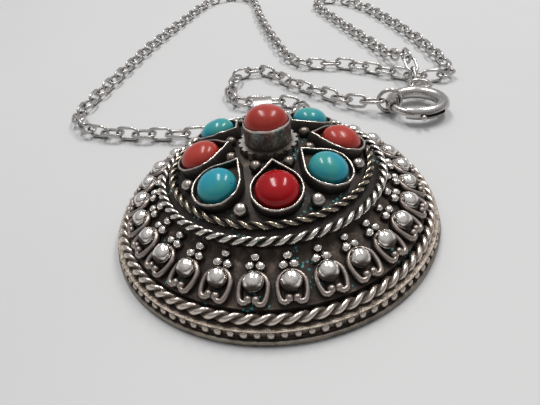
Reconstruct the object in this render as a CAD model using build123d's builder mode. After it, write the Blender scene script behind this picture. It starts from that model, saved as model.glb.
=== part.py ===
"""Ghau amulet box worn as a pendant, with its neck chain and bolt ring clasp.

Millimetres, +Z up. The box lies on its back cover with the origin at the middle of the cover's
underside, and -Y is the side towards the viewer. The front lifts off the cover along +Z.
"""
import os
from math import atan2, ceil, cos, degrees, pi, radians, sin, sqrt, tan

from build123d import *

os.makedirs("parts", exist_ok=True)

# Sheet and fits
sheet = 0.5
solder_gap = 0.01
cover_clearance = 0.05

# Back cover: a flat lid with a standing wall that slides inside the case skirt
cover_overhang = 0.39
cover_thickness = 0.6
cover_edge_round = 0.15
cover_wall_height = 1.7
cover_wall_thickness = 0.5

# Case: an upright skirt and a conical flank
flank_foot_height = 2.8
flank_slope = 26.0
flange_width = 0.95

# Crown: a short drum under a shallow dome
crown_margin = 1.55
drum_height = 0.95
crown_rise = 3.2

# Rim: a square base wire, a channelled strip round it and a row of beads in the channel
rim_ring_width = 1.2
rim_ring_height = 1.0
rim_strip_web = 0.15
rim_strip_lip = 0.3
rim_lip_height = 0.12
rim_bead_radius = 0.32
rim_bead_count = 96

# Twisted wire ropes: strand radius, and turns of lay round each ring
lower_strand = 0.27
lower_turns = 38
outer_strand = 0.24
outer_turns = 29
inner_strand = 0.215
inner_turns = 25
outer_rope_rise = 0.24
inner_rope_inset = 0.87
strand_gap = 0.02
rope_joint = 0.25

# Flank ornaments, spaced outwards from the drum to the skirt
ornament_count = 28
ornament_phase = -4.45
drum_to_top_grain = 0.93
top_grain_to_pair = 0.86
pair_to_dome = 1.36
dome_to_skirt = 2.1
dome_radius = 1.0
dome_height = 0.85
dome_stem_radius = 0.55
loop_wire_radius = 0.2
loop_apex = -0.85
loop_shoulder_radius = 1.3
loop_side_radius = 2.8
loop_curl_radius = 0.42
loop_shoulder_end = 80
loop_side_end = 110
loop_curl_end = 260
loop_ball_radius = 0.3
pair_spread = 0.98
pair_radius = 0.475
top_grain_radius = 0.455

# Crown settings: teardrop bezels with round cabochons
setting_count = 8
setting_phase = 1.67
setting_gap = 0.65
setting_shift = (0.0, -0.15, 0.15, -0.15, 0.0, 0.15, -0.3, 0.3)
bezel_radius = 2.65
bezel_tip = 3.75
bezel_wall = 0.24
bezel_height = 1.3
bed_height = 0.5
coral_radius = 2.2
turquoise_radius = 2.06
stone_girdle = 0.45
stone_rise = 1.35
stone_shoulder = 0.3
outer_grain_shift = 1.85
outer_grain_radius = 0.73
inner_grain_gap = 0.52
inner_grain_radius = 0.63
grain_sink = 0.15

# Centre setting
cup_radius = 2.55
cup_wall = 0.2
cup_rise = 3.09
cup_floor = 1.4
centre_stone_girdle = 1.7
centre_stone_rise = 1.65
centre_stone_gap = 0.04
collar_width = 0.7
collar_height = 0.65
collar_scallops = 18
collar_scallop_radius = 0.28

# Bail: a fixed strap loop soldered to the rim at the back
bail_radius = 2.7
bail_wall = 0.7
bail_width = 3.0
bail_cover_gap = 0.05
bail_floor_gap = 0.05
bail_chain_gap = 0.2
saddle_width = 3.0
saddle_top = 1.9

# Neck chain of round wire oval links
link_length = 4.45
link_width = 2.5
link_wire = 0.53
link_pitch = 2.95
bail_links = 11

# Bolt ring clasp lying flat, its eye, and the jump ring that it closes on
clasp_place = (24.7, 21.7)
clasp_lift = 0.2
clasp_ring_radius = 3.95
clasp_tube_radius = 1.0
clasp_bore_radius = 0.62
clasp_clearance = 0.05
mouth_start = 190
mouth_end = 232
bolt_seat = 3
bolt_end = 330
lever_angle = 262
lever_radius = 0.25
lever_reach = 5.55
knob_radius = 0.42
slot_margin = 4
spring_angle = 100
spring_turns = 9
spring_wire = 0.09
spring_gap = 2
eye_angle = 67.5
eye_ring_radius = 1.8
eye_wire_radius = 0.4
jump_angle = 165
jump_ring_radius = 1.8
jump_wire_radius = 0.3

# Places that follow from the sizes above, from the centre setting outwards to the bail
collar_radius = cup_radius + collar_width
inner_grain_place = collar_radius + inner_grain_gap + inner_grain_radius
setting_place = collar_radius + setting_gap + bezel_tip
outer_grain_place = setting_place + outer_grain_shift
drum_radius = setting_place + bezel_radius + crown_margin
inner_rope_radius = drum_radius - inner_rope_inset
top_grain_place = drum_radius + drum_to_top_grain
pair_place = top_grain_place + top_grain_to_pair
dome_place = pair_place + pair_to_dome
skirt_radius = dome_place + dome_to_skirt
rim_ring_radius = skirt_radius + rim_ring_width
cover_radius = rim_ring_radius + solder_gap + rim_strip_lip + cover_overhang
bail_place = cover_radius + bail_cover_gap + bail_radius
skirt_bottom = cover_thickness + solder_gap
skirt_inside = skirt_radius - sheet
flank_rise = tan(radians(flank_slope))
flank_drop = sheet / cos(radians(flank_slope))
drum_foot = flank_foot_height + (skirt_radius - drum_radius) * flank_rise
drum_bottom = drum_foot + solder_gap
crown_edge = drum_foot + drum_height
crown_top = crown_edge + crown_rise
cup_top = crown_top + cup_rise
outer_rope_height = crown_edge + outer_rope_rise
crown_sphere = (drum_radius**2 + crown_rise**2) / (2 * crown_rise)
crown_centre = crown_top - crown_sphere
rim_top = skirt_bottom + rim_ring_height
mouth_travel = mouth_end - mouth_start
clasp_height = 2 * jump_wire_radius + clasp_lift + clasp_tube_radius
clasp_centre = Vector(*clasp_place, clasp_height)


def flank_plane(angle, place):
    """Plane on the flank at a bearing and a radius, x down the slope and z straight out of it."""
    slope = radians(flank_slope)
    bearing = radians(angle)
    height = flank_foot_height + (skirt_radius - place) * flank_rise
    down = (cos(slope) * cos(bearing), cos(slope) * sin(bearing), -sin(slope))
    out = (sin(slope) * cos(bearing), sin(slope) * sin(bearing), cos(slope))
    origin = (place * cos(bearing), place * sin(bearing), height)
    return Plane(origin=origin, x_dir=down, z_dir=out)


def crown_plane(angle, place):
    """Plane on the crown at a bearing and a radius, x down the slope and z straight out of it."""
    bearing = radians(angle)
    tilt = atan2(place, sqrt(crown_sphere**2 - place**2))
    height = crown_centre + crown_sphere * cos(tilt)
    down = (cos(tilt) * cos(bearing), cos(tilt) * sin(bearing), -sin(tilt))
    out = (sin(tilt) * cos(bearing), sin(tilt) * sin(bearing), cos(tilt))
    origin = (place * cos(bearing), place * sin(bearing), height)
    return Plane(origin=origin, x_dir=down, z_dir=out)


def cap_arc(edge, rise):
    """Arc of a domed cap from its edge, given as radius and height, up to its top on the axis."""
    radius, height = edge
    ball = (radius**2 + rise**2) / (2 * rise)
    half = atan2(radius, ball - rise) / 2
    middle = (ball * sin(half), height + rise - ball * (1 - cos(half)))
    ThreePointArc(edge, middle, (0, height + rise))


def biarc(start, start_way, end, end_way):
    """Two tangent arcs between two points with given directions, drawn in the open line."""
    span = end - start
    ways = start_way + end_way
    bend = 2 * (1 - start_way.dot(end_way))
    along = span.dot(ways)
    reach = (sqrt(along**2 + bend * span.dot(span)) - along) / bend
    first = start + start_way * reach
    last = end - end_way * reach
    middle = (first + last) / 2
    TangentArc(start, middle, tangent=start_way)
    TangentArc(middle, end, tangent=(last - first).normalized())


def coil_point(ring_radius, coil_radius, bearing, lay):
    """Point of a helix wound about a level ring, at a bearing and an angle of lay."""
    out = ring_radius + coil_radius * cos(lay)
    return Vector(out * cos(bearing), out * sin(bearing), coil_radius * sin(lay))


def coil_way(ring_radius, coil_radius, bearing, lay, lay_rate):
    """Direction of that helix, where lay_rate is its turns for each turn of the ring."""
    out = ring_radius + coil_radius * cos(lay)
    swell = -coil_radius * sin(lay) * lay_rate
    climb = coil_radius * cos(lay) * lay_rate
    across = Vector(-sin(bearing), cos(bearing), 0) * out
    along = Vector(cos(bearing), sin(bearing), 0) * swell
    return (across + along + Vector(0, 0, climb)).normalized()


def wound_wire(ring_radius, coil_radius, wire_radius, start, sweep_angle, turns, phase):
    """Round wire wound as a helix about part of a level ring round the origin."""
    steps = 2 * ceil(abs(turns))
    lay_rate = 2 * pi * turns / sweep_angle
    stations = []
    for step in range(steps + 1):
        bearing = start + sweep_angle * step / steps
        lay = phase + 2 * pi * turns * step / steps
        point = coil_point(ring_radius, coil_radius, bearing, lay)
        way = coil_way(ring_radius, coil_radius, bearing, lay, lay_rate)
        stations.append((point, way))
    with BuildPart() as wire:
        with BuildLine() as path:
            for (point, way), (next_point, next_way) in zip(stations, stations[1:]):
                biarc(point, way, next_point, next_way)
        with BuildSketch(Plane(origin=stations[0][0], z_dir=stations[0][1])):
            Circle(wire_radius)
        sweep(path=path.line)
    return wire.part


def twisted_rope(ring_radius, strand, turns):
    """Two strands twisted together round a ring, with a butt joint at the back."""
    joint = rope_joint / ring_radius
    start = pi / 2 + joint / 2
    coil_radius = strand + strand_gap / 2
    strands = []
    for phase in (0, pi):
        strands.append(wound_wire(ring_radius, coil_radius, strand, start, 2 * pi - joint, turns, phase))
    return strands


# Back cover
with BuildPart() as back_cover:
    Cylinder(cover_radius, cover_thickness, align=(Align.CENTER, Align.CENTER, Align.MIN))
    fillet(back_cover.edges(), cover_edge_round)
    wall_radius = skirt_inside - cover_clearance
    with Locations((0, 0, cover_thickness)):
        Cylinder(wall_radius, cover_wall_height, align=(Align.CENTER, Align.CENTER, Align.MIN))
        Cylinder(
            wall_radius - cover_wall_thickness,
            cover_wall_height,
            align=(Align.CENTER, Align.CENTER, Align.MIN),
            mode=Mode.SUBTRACT,
        )
back_cover.part.label = "back_cover"
export_step(back_cover.part, "parts/back_cover.step")

# Front case: skirt, flank and the flange that carries the crown
flange_inside = drum_radius - flange_width
flange_under = drum_foot - sheet
flank_inside_foot = flank_foot_height + sheet * flank_rise - flank_drop
flange_corner = skirt_radius - (flange_under - flank_foot_height + flank_drop) / flank_rise
with BuildPart() as front_case:
    with BuildSketch(Plane.XZ):
        with BuildLine():
            Polyline(
                (skirt_radius, skirt_bottom),
                (skirt_radius, flank_foot_height),
                (drum_radius, drum_foot),
                (flange_inside, drum_foot),
                (flange_inside, flange_under),
                (flange_corner, flange_under),
                (skirt_inside, flank_inside_foot),
                (skirt_inside, skirt_bottom),
                close=True,
            )
        make_face()
    revolve(axis=Axis.Z)
front_case.part.label = "front_case"
export_step(front_case.part, "parts/front_case.step")

# Crown cap: drum wall and dome in one shell
drum_inside = drum_radius - sheet
inner_sphere = crown_sphere - sheet
inner_edge = crown_centre + sqrt(inner_sphere**2 - drum_inside**2)
outer_start = degrees(atan2(crown_edge - crown_centre, drum_radius))
inner_start = degrees(atan2(inner_edge - crown_centre, drum_inside))
with BuildPart() as crown_cap:
    with BuildSketch(Plane.XZ):
        with BuildLine():
            Polyline((drum_inside, inner_edge), (drum_inside, drum_bottom), (drum_radius, drum_bottom),
                     (drum_radius, crown_edge))
            CenterArc((0, crown_centre), crown_sphere, outer_start, 90 - outer_start)
            Line((0, crown_top), (0, crown_top - sheet))
            CenterArc((0, crown_centre), inner_sphere, inner_start, 90 - inner_start)
        make_face()
    revolve(axis=Axis.Z)
crown_cap.part.label = "crown_cap"
export_step(crown_cap.part, "parts/crown_cap.step")

# Rim ring: the square wire round the foot of the skirt
with BuildPart() as rim_ring:
    with Locations((0, 0, skirt_bottom)):
        Cylinder(rim_ring_radius, rim_ring_height, align=(Align.CENTER, Align.CENTER, Align.MIN))
        Cylinder(
            skirt_radius + solder_gap,
            rim_ring_height,
            align=(Align.CENTER, Align.CENTER, Align.MIN),
            mode=Mode.SUBTRACT,
        )
rim_ring.part.label = "rim_ring"
export_step(rim_ring.part, "parts/rim_ring.step")

# Rim strip: a channel round the rim ring, cut away behind for the bail's saddle
strip_inside = rim_ring_radius + solder_gap
strip_web = strip_inside + rim_strip_web
strip_lip = strip_inside + rim_strip_lip
saddle_slot = saddle_width + 2 * solder_gap
with BuildPart() as rim_strip:
    with BuildSketch(Plane.XZ):
        with BuildLine():
            Polyline(
                (strip_inside, skirt_bottom),
                (strip_lip, skirt_bottom),
                (strip_lip, skirt_bottom + rim_lip_height),
                (strip_web, skirt_bottom + rim_lip_height),
                (strip_web, rim_top - rim_lip_height),
                (strip_lip, rim_top - rim_lip_height),
                (strip_lip, rim_top),
                (strip_inside, rim_top),
                close=True,
            )
        make_face()
    revolve(axis=Axis.Z)
    with Locations((0, rim_ring_radius, skirt_bottom)):
        Box(saddle_slot, 2 * sheet, 3 * rim_ring_height, mode=Mode.SUBTRACT)
rim_strip.part.label = "rim_strip"
export_step(rim_strip.part, "parts/rim_strip.step")

# Rim beads: a row of half round beads in the channel, none behind the saddle
bead_pitch = 360 / rim_bead_count
bead_skip = degrees((saddle_slot / 2 + rim_bead_radius) / strip_web)
bead_place = strip_web + solder_gap
bead_level = Vector(0, 0, (skirt_bottom + rim_top) / 2)
bead_planes = []
for number in range(rim_bead_count):
    turn = (number + 0.5) * bead_pitch
    if bead_skip < turn < 360 - bead_skip:
        bearing = radians(90 + turn)
        outward = Vector(cos(bearing), sin(bearing), 0)
        bead_planes.append(Plane(origin=outward * bead_place + bead_level, z_dir=outward))
with BuildPart() as rim_beads:
    with Locations(*bead_planes):
        Sphere(rim_bead_radius, arc_size1=0, align=(Align.CENTER, Align.CENTER, Align.MIN))
rim_beads.part.label = "rim_beads"
export_step(rim_beads.part, "parts/rim_beads.step")

# Ropes of twisted wire: one on the rim ring, one round the drum, one on the edge of the dome
lower_coil = 2 * lower_strand + strand_gap / 2 + solder_gap
outer_coil = 2 * outer_strand + strand_gap / 2 + solder_gap
inner_coil = 2 * inner_strand + strand_gap / 2 + solder_gap
inner_rope_height = crown_centre + sqrt((crown_sphere + inner_coil) ** 2 - inner_rope_radius**2)
rope_sizes = (
    ("lower_rope", skirt_radius + lower_coil, rim_top + lower_coil, lower_strand, lower_turns),
    ("outer_rope", drum_radius + outer_coil, outer_rope_height, outer_strand, outer_turns),
    ("inner_rope", inner_rope_radius, inner_rope_height, inner_strand, -inner_turns),
)
for rope_name, rope_radius, rope_height, strand, turns in rope_sizes:
    strands = twisted_rope(rope_radius, strand, turns)
    lifted = [Pos(0, 0, rope_height) * strand_part for strand_part in strands]
    export_step(Compound(label=rope_name, children=lifted), f"parts/{rope_name}.step")

# Flank ornaments: each is a wire loop with curled ends, a dome over it and three grains above
ornament_angles = []
for number in range(ornament_count):
    ornament_angles.append(-90 + ornament_phase + (number - 5.5) * 360 / ornament_count)

with BuildLine() as half_loop:
    shoulder = JernArc((loop_apex, 0), (0, 1), loop_shoulder_radius, -loop_shoulder_end)
    side = JernArc(shoulder @ 1, shoulder % 1, loop_side_radius, loop_shoulder_end - loop_side_end)
    curl = JernArc(side @ 1, side % 1, loop_curl_radius, loop_side_end - loop_curl_end)
loop_turns = (
    (loop_curl_radius, loop_curl_end - loop_side_end),
    (loop_side_radius, loop_side_end - loop_shoulder_end),
    (loop_shoulder_radius, 2 * loop_shoulder_end),
    (loop_side_radius, loop_side_end - loop_shoulder_end),
    (loop_curl_radius, loop_curl_end - loop_side_end),
)
with BuildPart() as flank_loop:
    with BuildLine() as loop_path:
        end_point = curl @ 1
        end_way = -(curl % 1)
        for turn_radius, turn_size in loop_turns:
            bend = JernArc(end_point, end_way, turn_radius, turn_size)
            end_point = bend @ 1
            end_way = bend % 1
    with BuildSketch(Plane(origin=curl @ 1, z_dir=-(curl % 1))):
        Circle(loop_wire_radius)
    sweep(path=loop_path.line)
    with Locations(Plane(origin=curl @ 1, z_dir=curl % 1), Plane(origin=end_point, z_dir=end_way)):
        Sphere(loop_ball_radius)
with BuildPart() as flank_loops:
    loop_lift = loop_ball_radius + solder_gap
    with Locations(*[flank_plane(angle, dome_place).offset(loop_lift) for angle in ornament_angles]):
        add(flank_loop.part)
flank_loops.part.label = "flank_loops"
export_step(flank_loops.part, "parts/flank_loops.step")

dome_seat = loop_lift + loop_wire_radius + solder_gap
with BuildPart() as flank_dome:
    with BuildSketch(Plane.XZ):
        with BuildLine():
            Polyline((0, dome_seat + dome_height), (0, solder_gap), (dome_stem_radius, solder_gap),
                     (dome_stem_radius, dome_seat), (dome_radius, dome_seat))
            cap_arc((dome_radius, dome_seat), dome_height)
        make_face()
    revolve(axis=Axis.Z)
with BuildPart() as flank_domes:
    with Locations(*[flank_plane(angle, dome_place) for angle in ornament_angles]):
        add(flank_dome.part)
flank_domes.part.label = "flank_domes"
export_step(flank_domes.part, "parts/flank_domes.step")


def cabochon(radius, foot, girdle, rise):
    """Round stone with an upright girdle, a rounded shoulder and a domed top, about the Z axis."""
    with BuildPart() as shape:
        with BuildSketch(Plane.XZ) as profile:
            with BuildLine():
                Polyline((0, foot + girdle + rise), (0, foot), (radius, foot), (radius, foot + girdle))
                cap_arc((radius, foot + girdle), rise)
            make_face()
            fillet(profile.vertices().group_by(Axis.X)[-1].sort_by(Axis.Y)[-1], stone_shoulder)
        revolve(axis=Axis.Z)
    return shape.part


def seated_grain(radius):
    """Grain with its foot melted flat, standing on the XY plane."""
    with BuildPart() as grain:
        with Locations((0, 0, radius - grain_sink)):
            Sphere(radius)
        split(bisect_by=Plane.XY.offset(solder_gap), keep=Keep.TOP)
    return grain.part


pair_turn = degrees(pair_spread / 2 / pair_place)
pair_angles = []
for angle in ornament_angles:
    pair_angles += [angle - pair_turn, angle + pair_turn]
setting_angles = []
for number in range(setting_count):
    setting_angles.append(-90 + setting_phase + number * 360 / setting_count)
between_angles = [angle + 180 / setting_count for angle in setting_angles]
grain_rows = (
    ("flank_pair_grains", pair_radius, flank_plane, pair_place, pair_angles),
    ("flank_top_grains", top_grain_radius, flank_plane, top_grain_place, ornament_angles),
    ("crown_outer_grains", outer_grain_radius, crown_plane, outer_grain_place, between_angles),
    ("crown_inner_grains", inner_grain_radius, crown_plane, inner_grain_place, between_angles),
)
for row_name, grain_radius, surface_plane, place, angles in grain_rows:
    grain_shape = seated_grain(grain_radius)
    with BuildPart() as grain_row:
        with Locations(*[surface_plane(angle, place) for angle in angles]):
            add(grain_shape)
    grain_row.part.label = row_name
    export_step(grain_row.part, f"parts/{row_name}.step")

# Crown settings: teardrop bezel, bed of setting lac, and cabochon
tip_half_angle = atan2(bezel_radius, sqrt(bezel_tip**2 - bezel_radius**2))
bezel_foot = -bezel_tip**2 / crown_sphere


def teardrop(radius, tip):
    """Teardrop face round the origin, its point at -X."""
    touch = Vector(-radius * radius / tip, radius * sqrt(1 - (radius / tip) ** 2))
    with BuildSketch() as outline:
        with BuildLine():
            Line((-tip, 0), touch)
            ThreePointArc(touch, (radius, 0), (touch.X, -touch.Y))
            Line((touch.X, -touch.Y), (-tip, 0))
        make_face()
    return outline.sketch


beds = []
for number, angle in enumerate(setting_angles):
    seat = crown_plane(angle, setting_place + setting_shift[number])
    dome_middle = seat.to_local_coords(Vector(0, 0, crown_centre))
    stone_radius = turquoise_radius if number % 2 else coral_radius
    inner_tip = bezel_tip - bezel_wall / sin(tip_half_angle)
    with BuildPart() as bezel:
        with BuildSketch(Plane.XY.offset(bezel_foot)):
            add(teardrop(bezel_radius, bezel_tip))
        extrude(amount=bezel_height - bezel_foot)
        with BuildSketch(Plane.XY.offset(bezel_foot)):
            add(teardrop(bezel_radius - bezel_wall, inner_tip))
        extrude(amount=bezel_height - bezel_foot, mode=Mode.SUBTRACT)
        with Locations(dome_middle):
            Sphere(crown_sphere + solder_gap, mode=Mode.SUBTRACT)
    bezel_name = f"bezel_{number + 1}"
    bezel_placed = seat.location * bezel.part
    bezel_placed.label = bezel_name
    export_step(bezel_placed, f"parts/{bezel_name}.step")
    with BuildPart() as bed:
        with BuildSketch(Plane.XY.offset(bezel_foot)):
            add(teardrop(bezel_radius - bezel_wall - solder_gap, inner_tip - 2 * solder_gap))
        extrude(amount=bed_height - bezel_foot)
        with Locations(dome_middle):
            Sphere(crown_sphere + solder_gap, mode=Mode.SUBTRACT)
    beds.append(seat.location * bed.part)
    stone = cabochon(stone_radius, bed_height + solder_gap, stone_girdle, stone_rise)
    stone_name = f"stone_{number + 1}"
    stone_placed = seat.location * stone
    stone_placed.label = stone_name
    export_step(stone_placed, f"parts/{stone_name}.step")
export_step(Compound(label="setting_beds", children=beds), "parts/setting_beds.step")

# Centre setting: scalloped collar, tall cup, and cabochon
with BuildPart() as centre_collar:
    with BuildSketch(Plane.XY.offset(crown_top - collar_height)):
        Circle(collar_radius)
        with PolarLocations(collar_radius, collar_scallops):
            Circle(collar_scallop_radius, mode=Mode.SUBTRACT)
        Circle(cup_radius + solder_gap, mode=Mode.SUBTRACT)
    extrude(amount=2 * collar_height)
    with Locations((0, 0, crown_centre)):
        Sphere(crown_sphere + solder_gap, mode=Mode.SUBTRACT)
centre_collar.part.label = "centre_collar"
export_step(centre_collar.part, "parts/centre_collar.step")

with BuildPart() as centre_cup:
    with Locations((0, 0, cup_top)):
        Cylinder(
            cup_radius,
            cup_top - crown_top + collar_height,
            align=(Align.CENTER, Align.CENTER, Align.MAX),
        )
    with Locations((0, 0, crown_top + cup_floor)):
        Cylinder(
            cup_radius - cup_wall,
            cup_top - crown_top - cup_floor,
            align=(Align.CENTER, Align.CENTER, Align.MIN),
            mode=Mode.SUBTRACT,
        )
    with Locations((0, 0, crown_centre)):
        Sphere(crown_sphere + solder_gap, mode=Mode.SUBTRACT)
centre_cup.part.label = "centre_cup"
export_step(centre_cup.part, "parts/centre_cup.step")

centre_stone_radius = cup_radius - cup_wall - centre_stone_gap
centre_stone_foot = crown_top + cup_floor + solder_gap
centre_stone = cabochon(centre_stone_radius, centre_stone_foot, centre_stone_girdle, centre_stone_rise)
centre_stone.label = "centre_stone"
export_step(centre_stone, "parts/centre_stone.step")

# Bail loop and the saddle that joins it to the rim
bail_middle = bail_radius + bail_floor_gap
with BuildPart() as bail_loop:
    with BuildSketch(Plane.YZ.offset(-bail_width / 2)):
        with Locations((bail_place, bail_middle)):
            Circle(bail_radius)
            Circle(bail_radius - bail_wall, mode=Mode.SUBTRACT)
    extrude(amount=bail_width)
    fillet(bail_loop.edges(), bail_wall / 4)
bail_loop.part.label = "bail_loop"
export_step(bail_loop.part, "parts/bail_loop.step")

saddle_bottom = skirt_bottom + cover_clearance
with BuildPart() as bail_saddle:
    with Locations((0, bail_place, saddle_bottom)):
        Box(
            saddle_width,
            bail_place - skirt_radius,
            saddle_top - saddle_bottom,
            align=(Align.CENTER, Align.MAX, Align.MIN),
        )
    Cylinder(rim_ring_radius + solder_gap, 4 * saddle_top, mode=Mode.SUBTRACT)
    with Locations((0, bail_place, bail_middle)):
        Cylinder(bail_radius + solder_gap, 2 * saddle_width, rotation=(0, 90, 0), mode=Mode.SUBTRACT)
bail_saddle.part.label = "bail_saddle"
export_step(bail_saddle.part, "parts/bail_saddle.step")

# Bolt ring clasp: a hollow ring with a mouth, a sprung bolt, its thumb lever and an eye
clasp_plane = Plane(origin=clasp_centre)


def ring_part(radius, start, end):
    """Part of a round ring about the Z axis, of a section radius, between two bearings in degrees."""
    with BuildPart() as arc_part:
        with BuildSketch(Plane.XZ.rotated((0, 0, start))):
            with Locations((clasp_ring_radius, 0)):
                Circle(radius)
        revolve(axis=Axis.Z, revolution_arc=end - start)
    return arc_part.part


spring_start = bolt_end + spring_gap
spring_end = spring_start + spring_angle
mouth_far = mouth_start + 360
with BuildPart() as clasp_body:
    add(ring_part(clasp_tube_radius, mouth_end, mouth_far))
    add(ring_part(clasp_bore_radius, mouth_end - 1, spring_end + spring_gap), mode=Mode.SUBTRACT)
    add(ring_part(clasp_bore_radius, mouth_far - 2 * bolt_seat, mouth_far + 1), mode=Mode.SUBTRACT)
    slot_start = lever_angle - slot_margin
    with BuildSketch(Plane.XZ.rotated((0, 0, slot_start))):
        with Locations((clasp_ring_radius + clasp_tube_radius, 0)):
            Rectangle(2 * clasp_tube_radius - clasp_bore_radius, 2 * (lever_radius + clasp_clearance))
    revolve(axis=Axis.Z, revolution_arc=mouth_travel + 2 * slot_margin, mode=Mode.SUBTRACT)
clasp_body_placed = clasp_plane.location * clasp_body.part
clasp_body_placed.label = "clasp_body"
export_step(clasp_body_placed, "parts/clasp_body.step")

lever_way = Vector(cos(radians(lever_angle)), sin(radians(lever_angle)), 0)
with BuildPart() as clasp_bolt:
    add(ring_part(clasp_bore_radius - clasp_clearance, mouth_start - bolt_seat, bolt_end))
    with BuildSketch(Plane(origin=lever_way * clasp_ring_radius, z_dir=lever_way)):
        Circle(lever_radius)
    extrude(amount=lever_reach - clasp_ring_radius)
    with Locations(lever_way * lever_reach):
        Sphere(knob_radius)
clasp_bolt_placed = clasp_plane.location * clasp_bolt.part
clasp_bolt_placed.label = "clasp_bolt"
export_step(clasp_bolt_placed, "parts/clasp_bolt.step")

spring_coil = clasp_bore_radius - clasp_clearance - spring_wire
spring_part = wound_wire(clasp_ring_radius, spring_coil, spring_wire, radians(spring_start),
                         radians(spring_angle), spring_turns, 0)
clasp_spring = clasp_plane.location * spring_part
clasp_spring.label = "clasp_spring"
export_step(clasp_spring, "parts/clasp_spring.step")

eye_way = Vector(cos(radians(eye_angle)), sin(radians(eye_angle)), 0)
eye_reach = clasp_ring_radius + clasp_tube_radius + eye_ring_radius + eye_wire_radius + solder_gap
eye_middle = clasp_centre + eye_way * eye_reach
with BuildPart() as clasp_eye:
    with Locations(eye_middle):
        Torus(eye_ring_radius, eye_wire_radius)
clasp_eye.part.label = "clasp_eye"
export_step(clasp_eye.part, "parts/clasp_eye.step")

jump_way = Vector(cos(radians(jump_angle)), sin(radians(jump_angle)), 0)
jump_rise = jump_ring_radius + jump_wire_radius + solder_gap
jump_play = jump_ring_radius - jump_wire_radius - clasp_tube_radius - strand_gap
jump_reach = clasp_ring_radius + sqrt(jump_play**2 - (jump_rise - clasp_height) ** 2)
jump_middle = Vector(*clasp_place, jump_rise) + jump_way * jump_reach
with BuildPart() as jump_ring:
    with Locations(Plane(origin=jump_middle, x_dir=jump_way, z_dir=jump_way.cross(Vector(0, 0, 1)))):
        Torus(jump_ring_radius, jump_wire_radius)
jump_ring.part.label = "jump_ring"
export_step(jump_ring.part, "parts/jump_ring.step")

# Neck chain: the route of its middle line, from the jump ring through the bail to the clasp's eye
link_straight = link_length - link_width
link_eye = link_width / 2 - link_wire
lie = link_width / 2 + solder_gap
through = bail_middle - bail_radius + bail_wall + lie + bail_chain_gap
chain_points = [
    (14.9, 25.4, 1.45), (12.4, 29.3, lie), (9.3, 32.9, lie), (6.4, 36.6, lie), (4.4, 39.9, lie),
    (2.5, 43.6, lie), (-0.3, 46.0, lie), (-3.7, 44.7, lie), (-5.3, 40.4, lie), (-5.7, 35.6, lie),
    (-4.8, 31.6, lie), (-1.9, 29.8, lie), (2.2, 29.6, lie), (5.6, 28.2, lie), (7.0, 25.4, lie),
    (5.4, 22.6, 1.5), (2.3, 21.75, through), (-2.3, 21.75, through), (-6.0, 21.0, 1.5),
    (-9.4, 20.6, lie), (-13.5, 21.1, lie), (-18.5, 22.2, lie), (-24.6, 24.0, lie), (-29.6, 26.3, lie),
    (-32.9, 30.0, lie), (-33.8, 34.8, lie), (-32.6, 40.8, lie), (-30.9, 48.3, lie), (-28.9, 58.0, lie),
    (-26.6, 69.4, lie), (-23.3, 81.0, lie), (-19.7, 92.4, lie), (-16.2, 104.8, lie), (-12.5, 113.4, lie),
    (-6.4, 117.0, lie), (-0.6, 113.6, lie), (2.0, 104.4, lie), (2.2, 91.8, lie), (3.2, 79.0, lie),
    (4.6, 66.6, lie), (6.2, 55.8, lie), (7.7, 48.8, lie), (11.2, 45.4, lie), (16.2, 44.6, lie),
    (20.7, 41.2, lie), (25.4, 36.4, lie), (29.3, 33.2, lie), (33.0, 32.2, lie), (35.4, 34.6, lie),
    (36.0, 39.4, lie), (36.2, 47.6, lie), (35.6, 58.6, lie), (34.4, 71.0, lie), (32.2, 84.0, lie),
    (28.6, 93.2, lie), (24.8, 97.8, lie), (20.8, 97.6, lie), (19.2, 93.4, lie), (20.3, 85.6, lie),
    (22.4, 73.6, lie), (24.6, 61.4, lie), (26.4, 50.8, lie), (27.2, 43.6, 1.8), (27.6, 38.4, 3.95),
    (27.75, 34.4, 3.95),
]
route_points = [Vector(point) for point in chain_points]
jump_hook = jump_middle + jump_way * jump_ring_radius
jump_tie = (route_points[0] - jump_hook).normalized()
chain_start = jump_hook + jump_tie * (link_straight / 2 + link_eye - jump_wire_radius - strand_gap)
eye_hook = eye_middle + Vector(0, eye_ring_radius, 0)
eye_tie = (route_points[-1] - eye_hook).normalized()
chain_end = eye_hook + eye_tie * (link_straight / 2 + link_eye - eye_wire_radius - strand_gap)
route_points = [chain_start, *route_points, chain_end]
corner_radii = []
for before, corner, after in zip(route_points, route_points[1:], route_points[2:]):
    shorter = min((corner - before).length, (after - corner).length)
    turn = (corner - before).get_angle(after - corner)
    corner_radii.append(0.45 * shorter / tan(radians(turn / 2)))
with BuildLine() as chain_line:
    route = FilletPolyline(*route_points, radius=corner_radii)
print("chain route length", round(route.length, 1), "smallest bend", round(min(corner_radii), 2))

with BuildPart() as chain_link:
    with BuildLine() as link_path:
        link_bend = (link_width - link_wire) / 2
        near_side = Line((-link_straight / 2, -link_bend), (link_straight / 2, -link_bend))
        far_bend = JernArc(near_side @ 1, (1, 0), link_bend, 180)
        far_side = Line(far_bend @ 1, (-link_straight / 2, link_bend))
        JernArc(far_side @ 1, (-1, 0), link_bend, 180)
    with BuildSketch(Plane(origin=near_side @ 0, z_dir=(1, 0, 0))):
        Circle(link_wire / 2)
    sweep(path=link_path.line)

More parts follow.
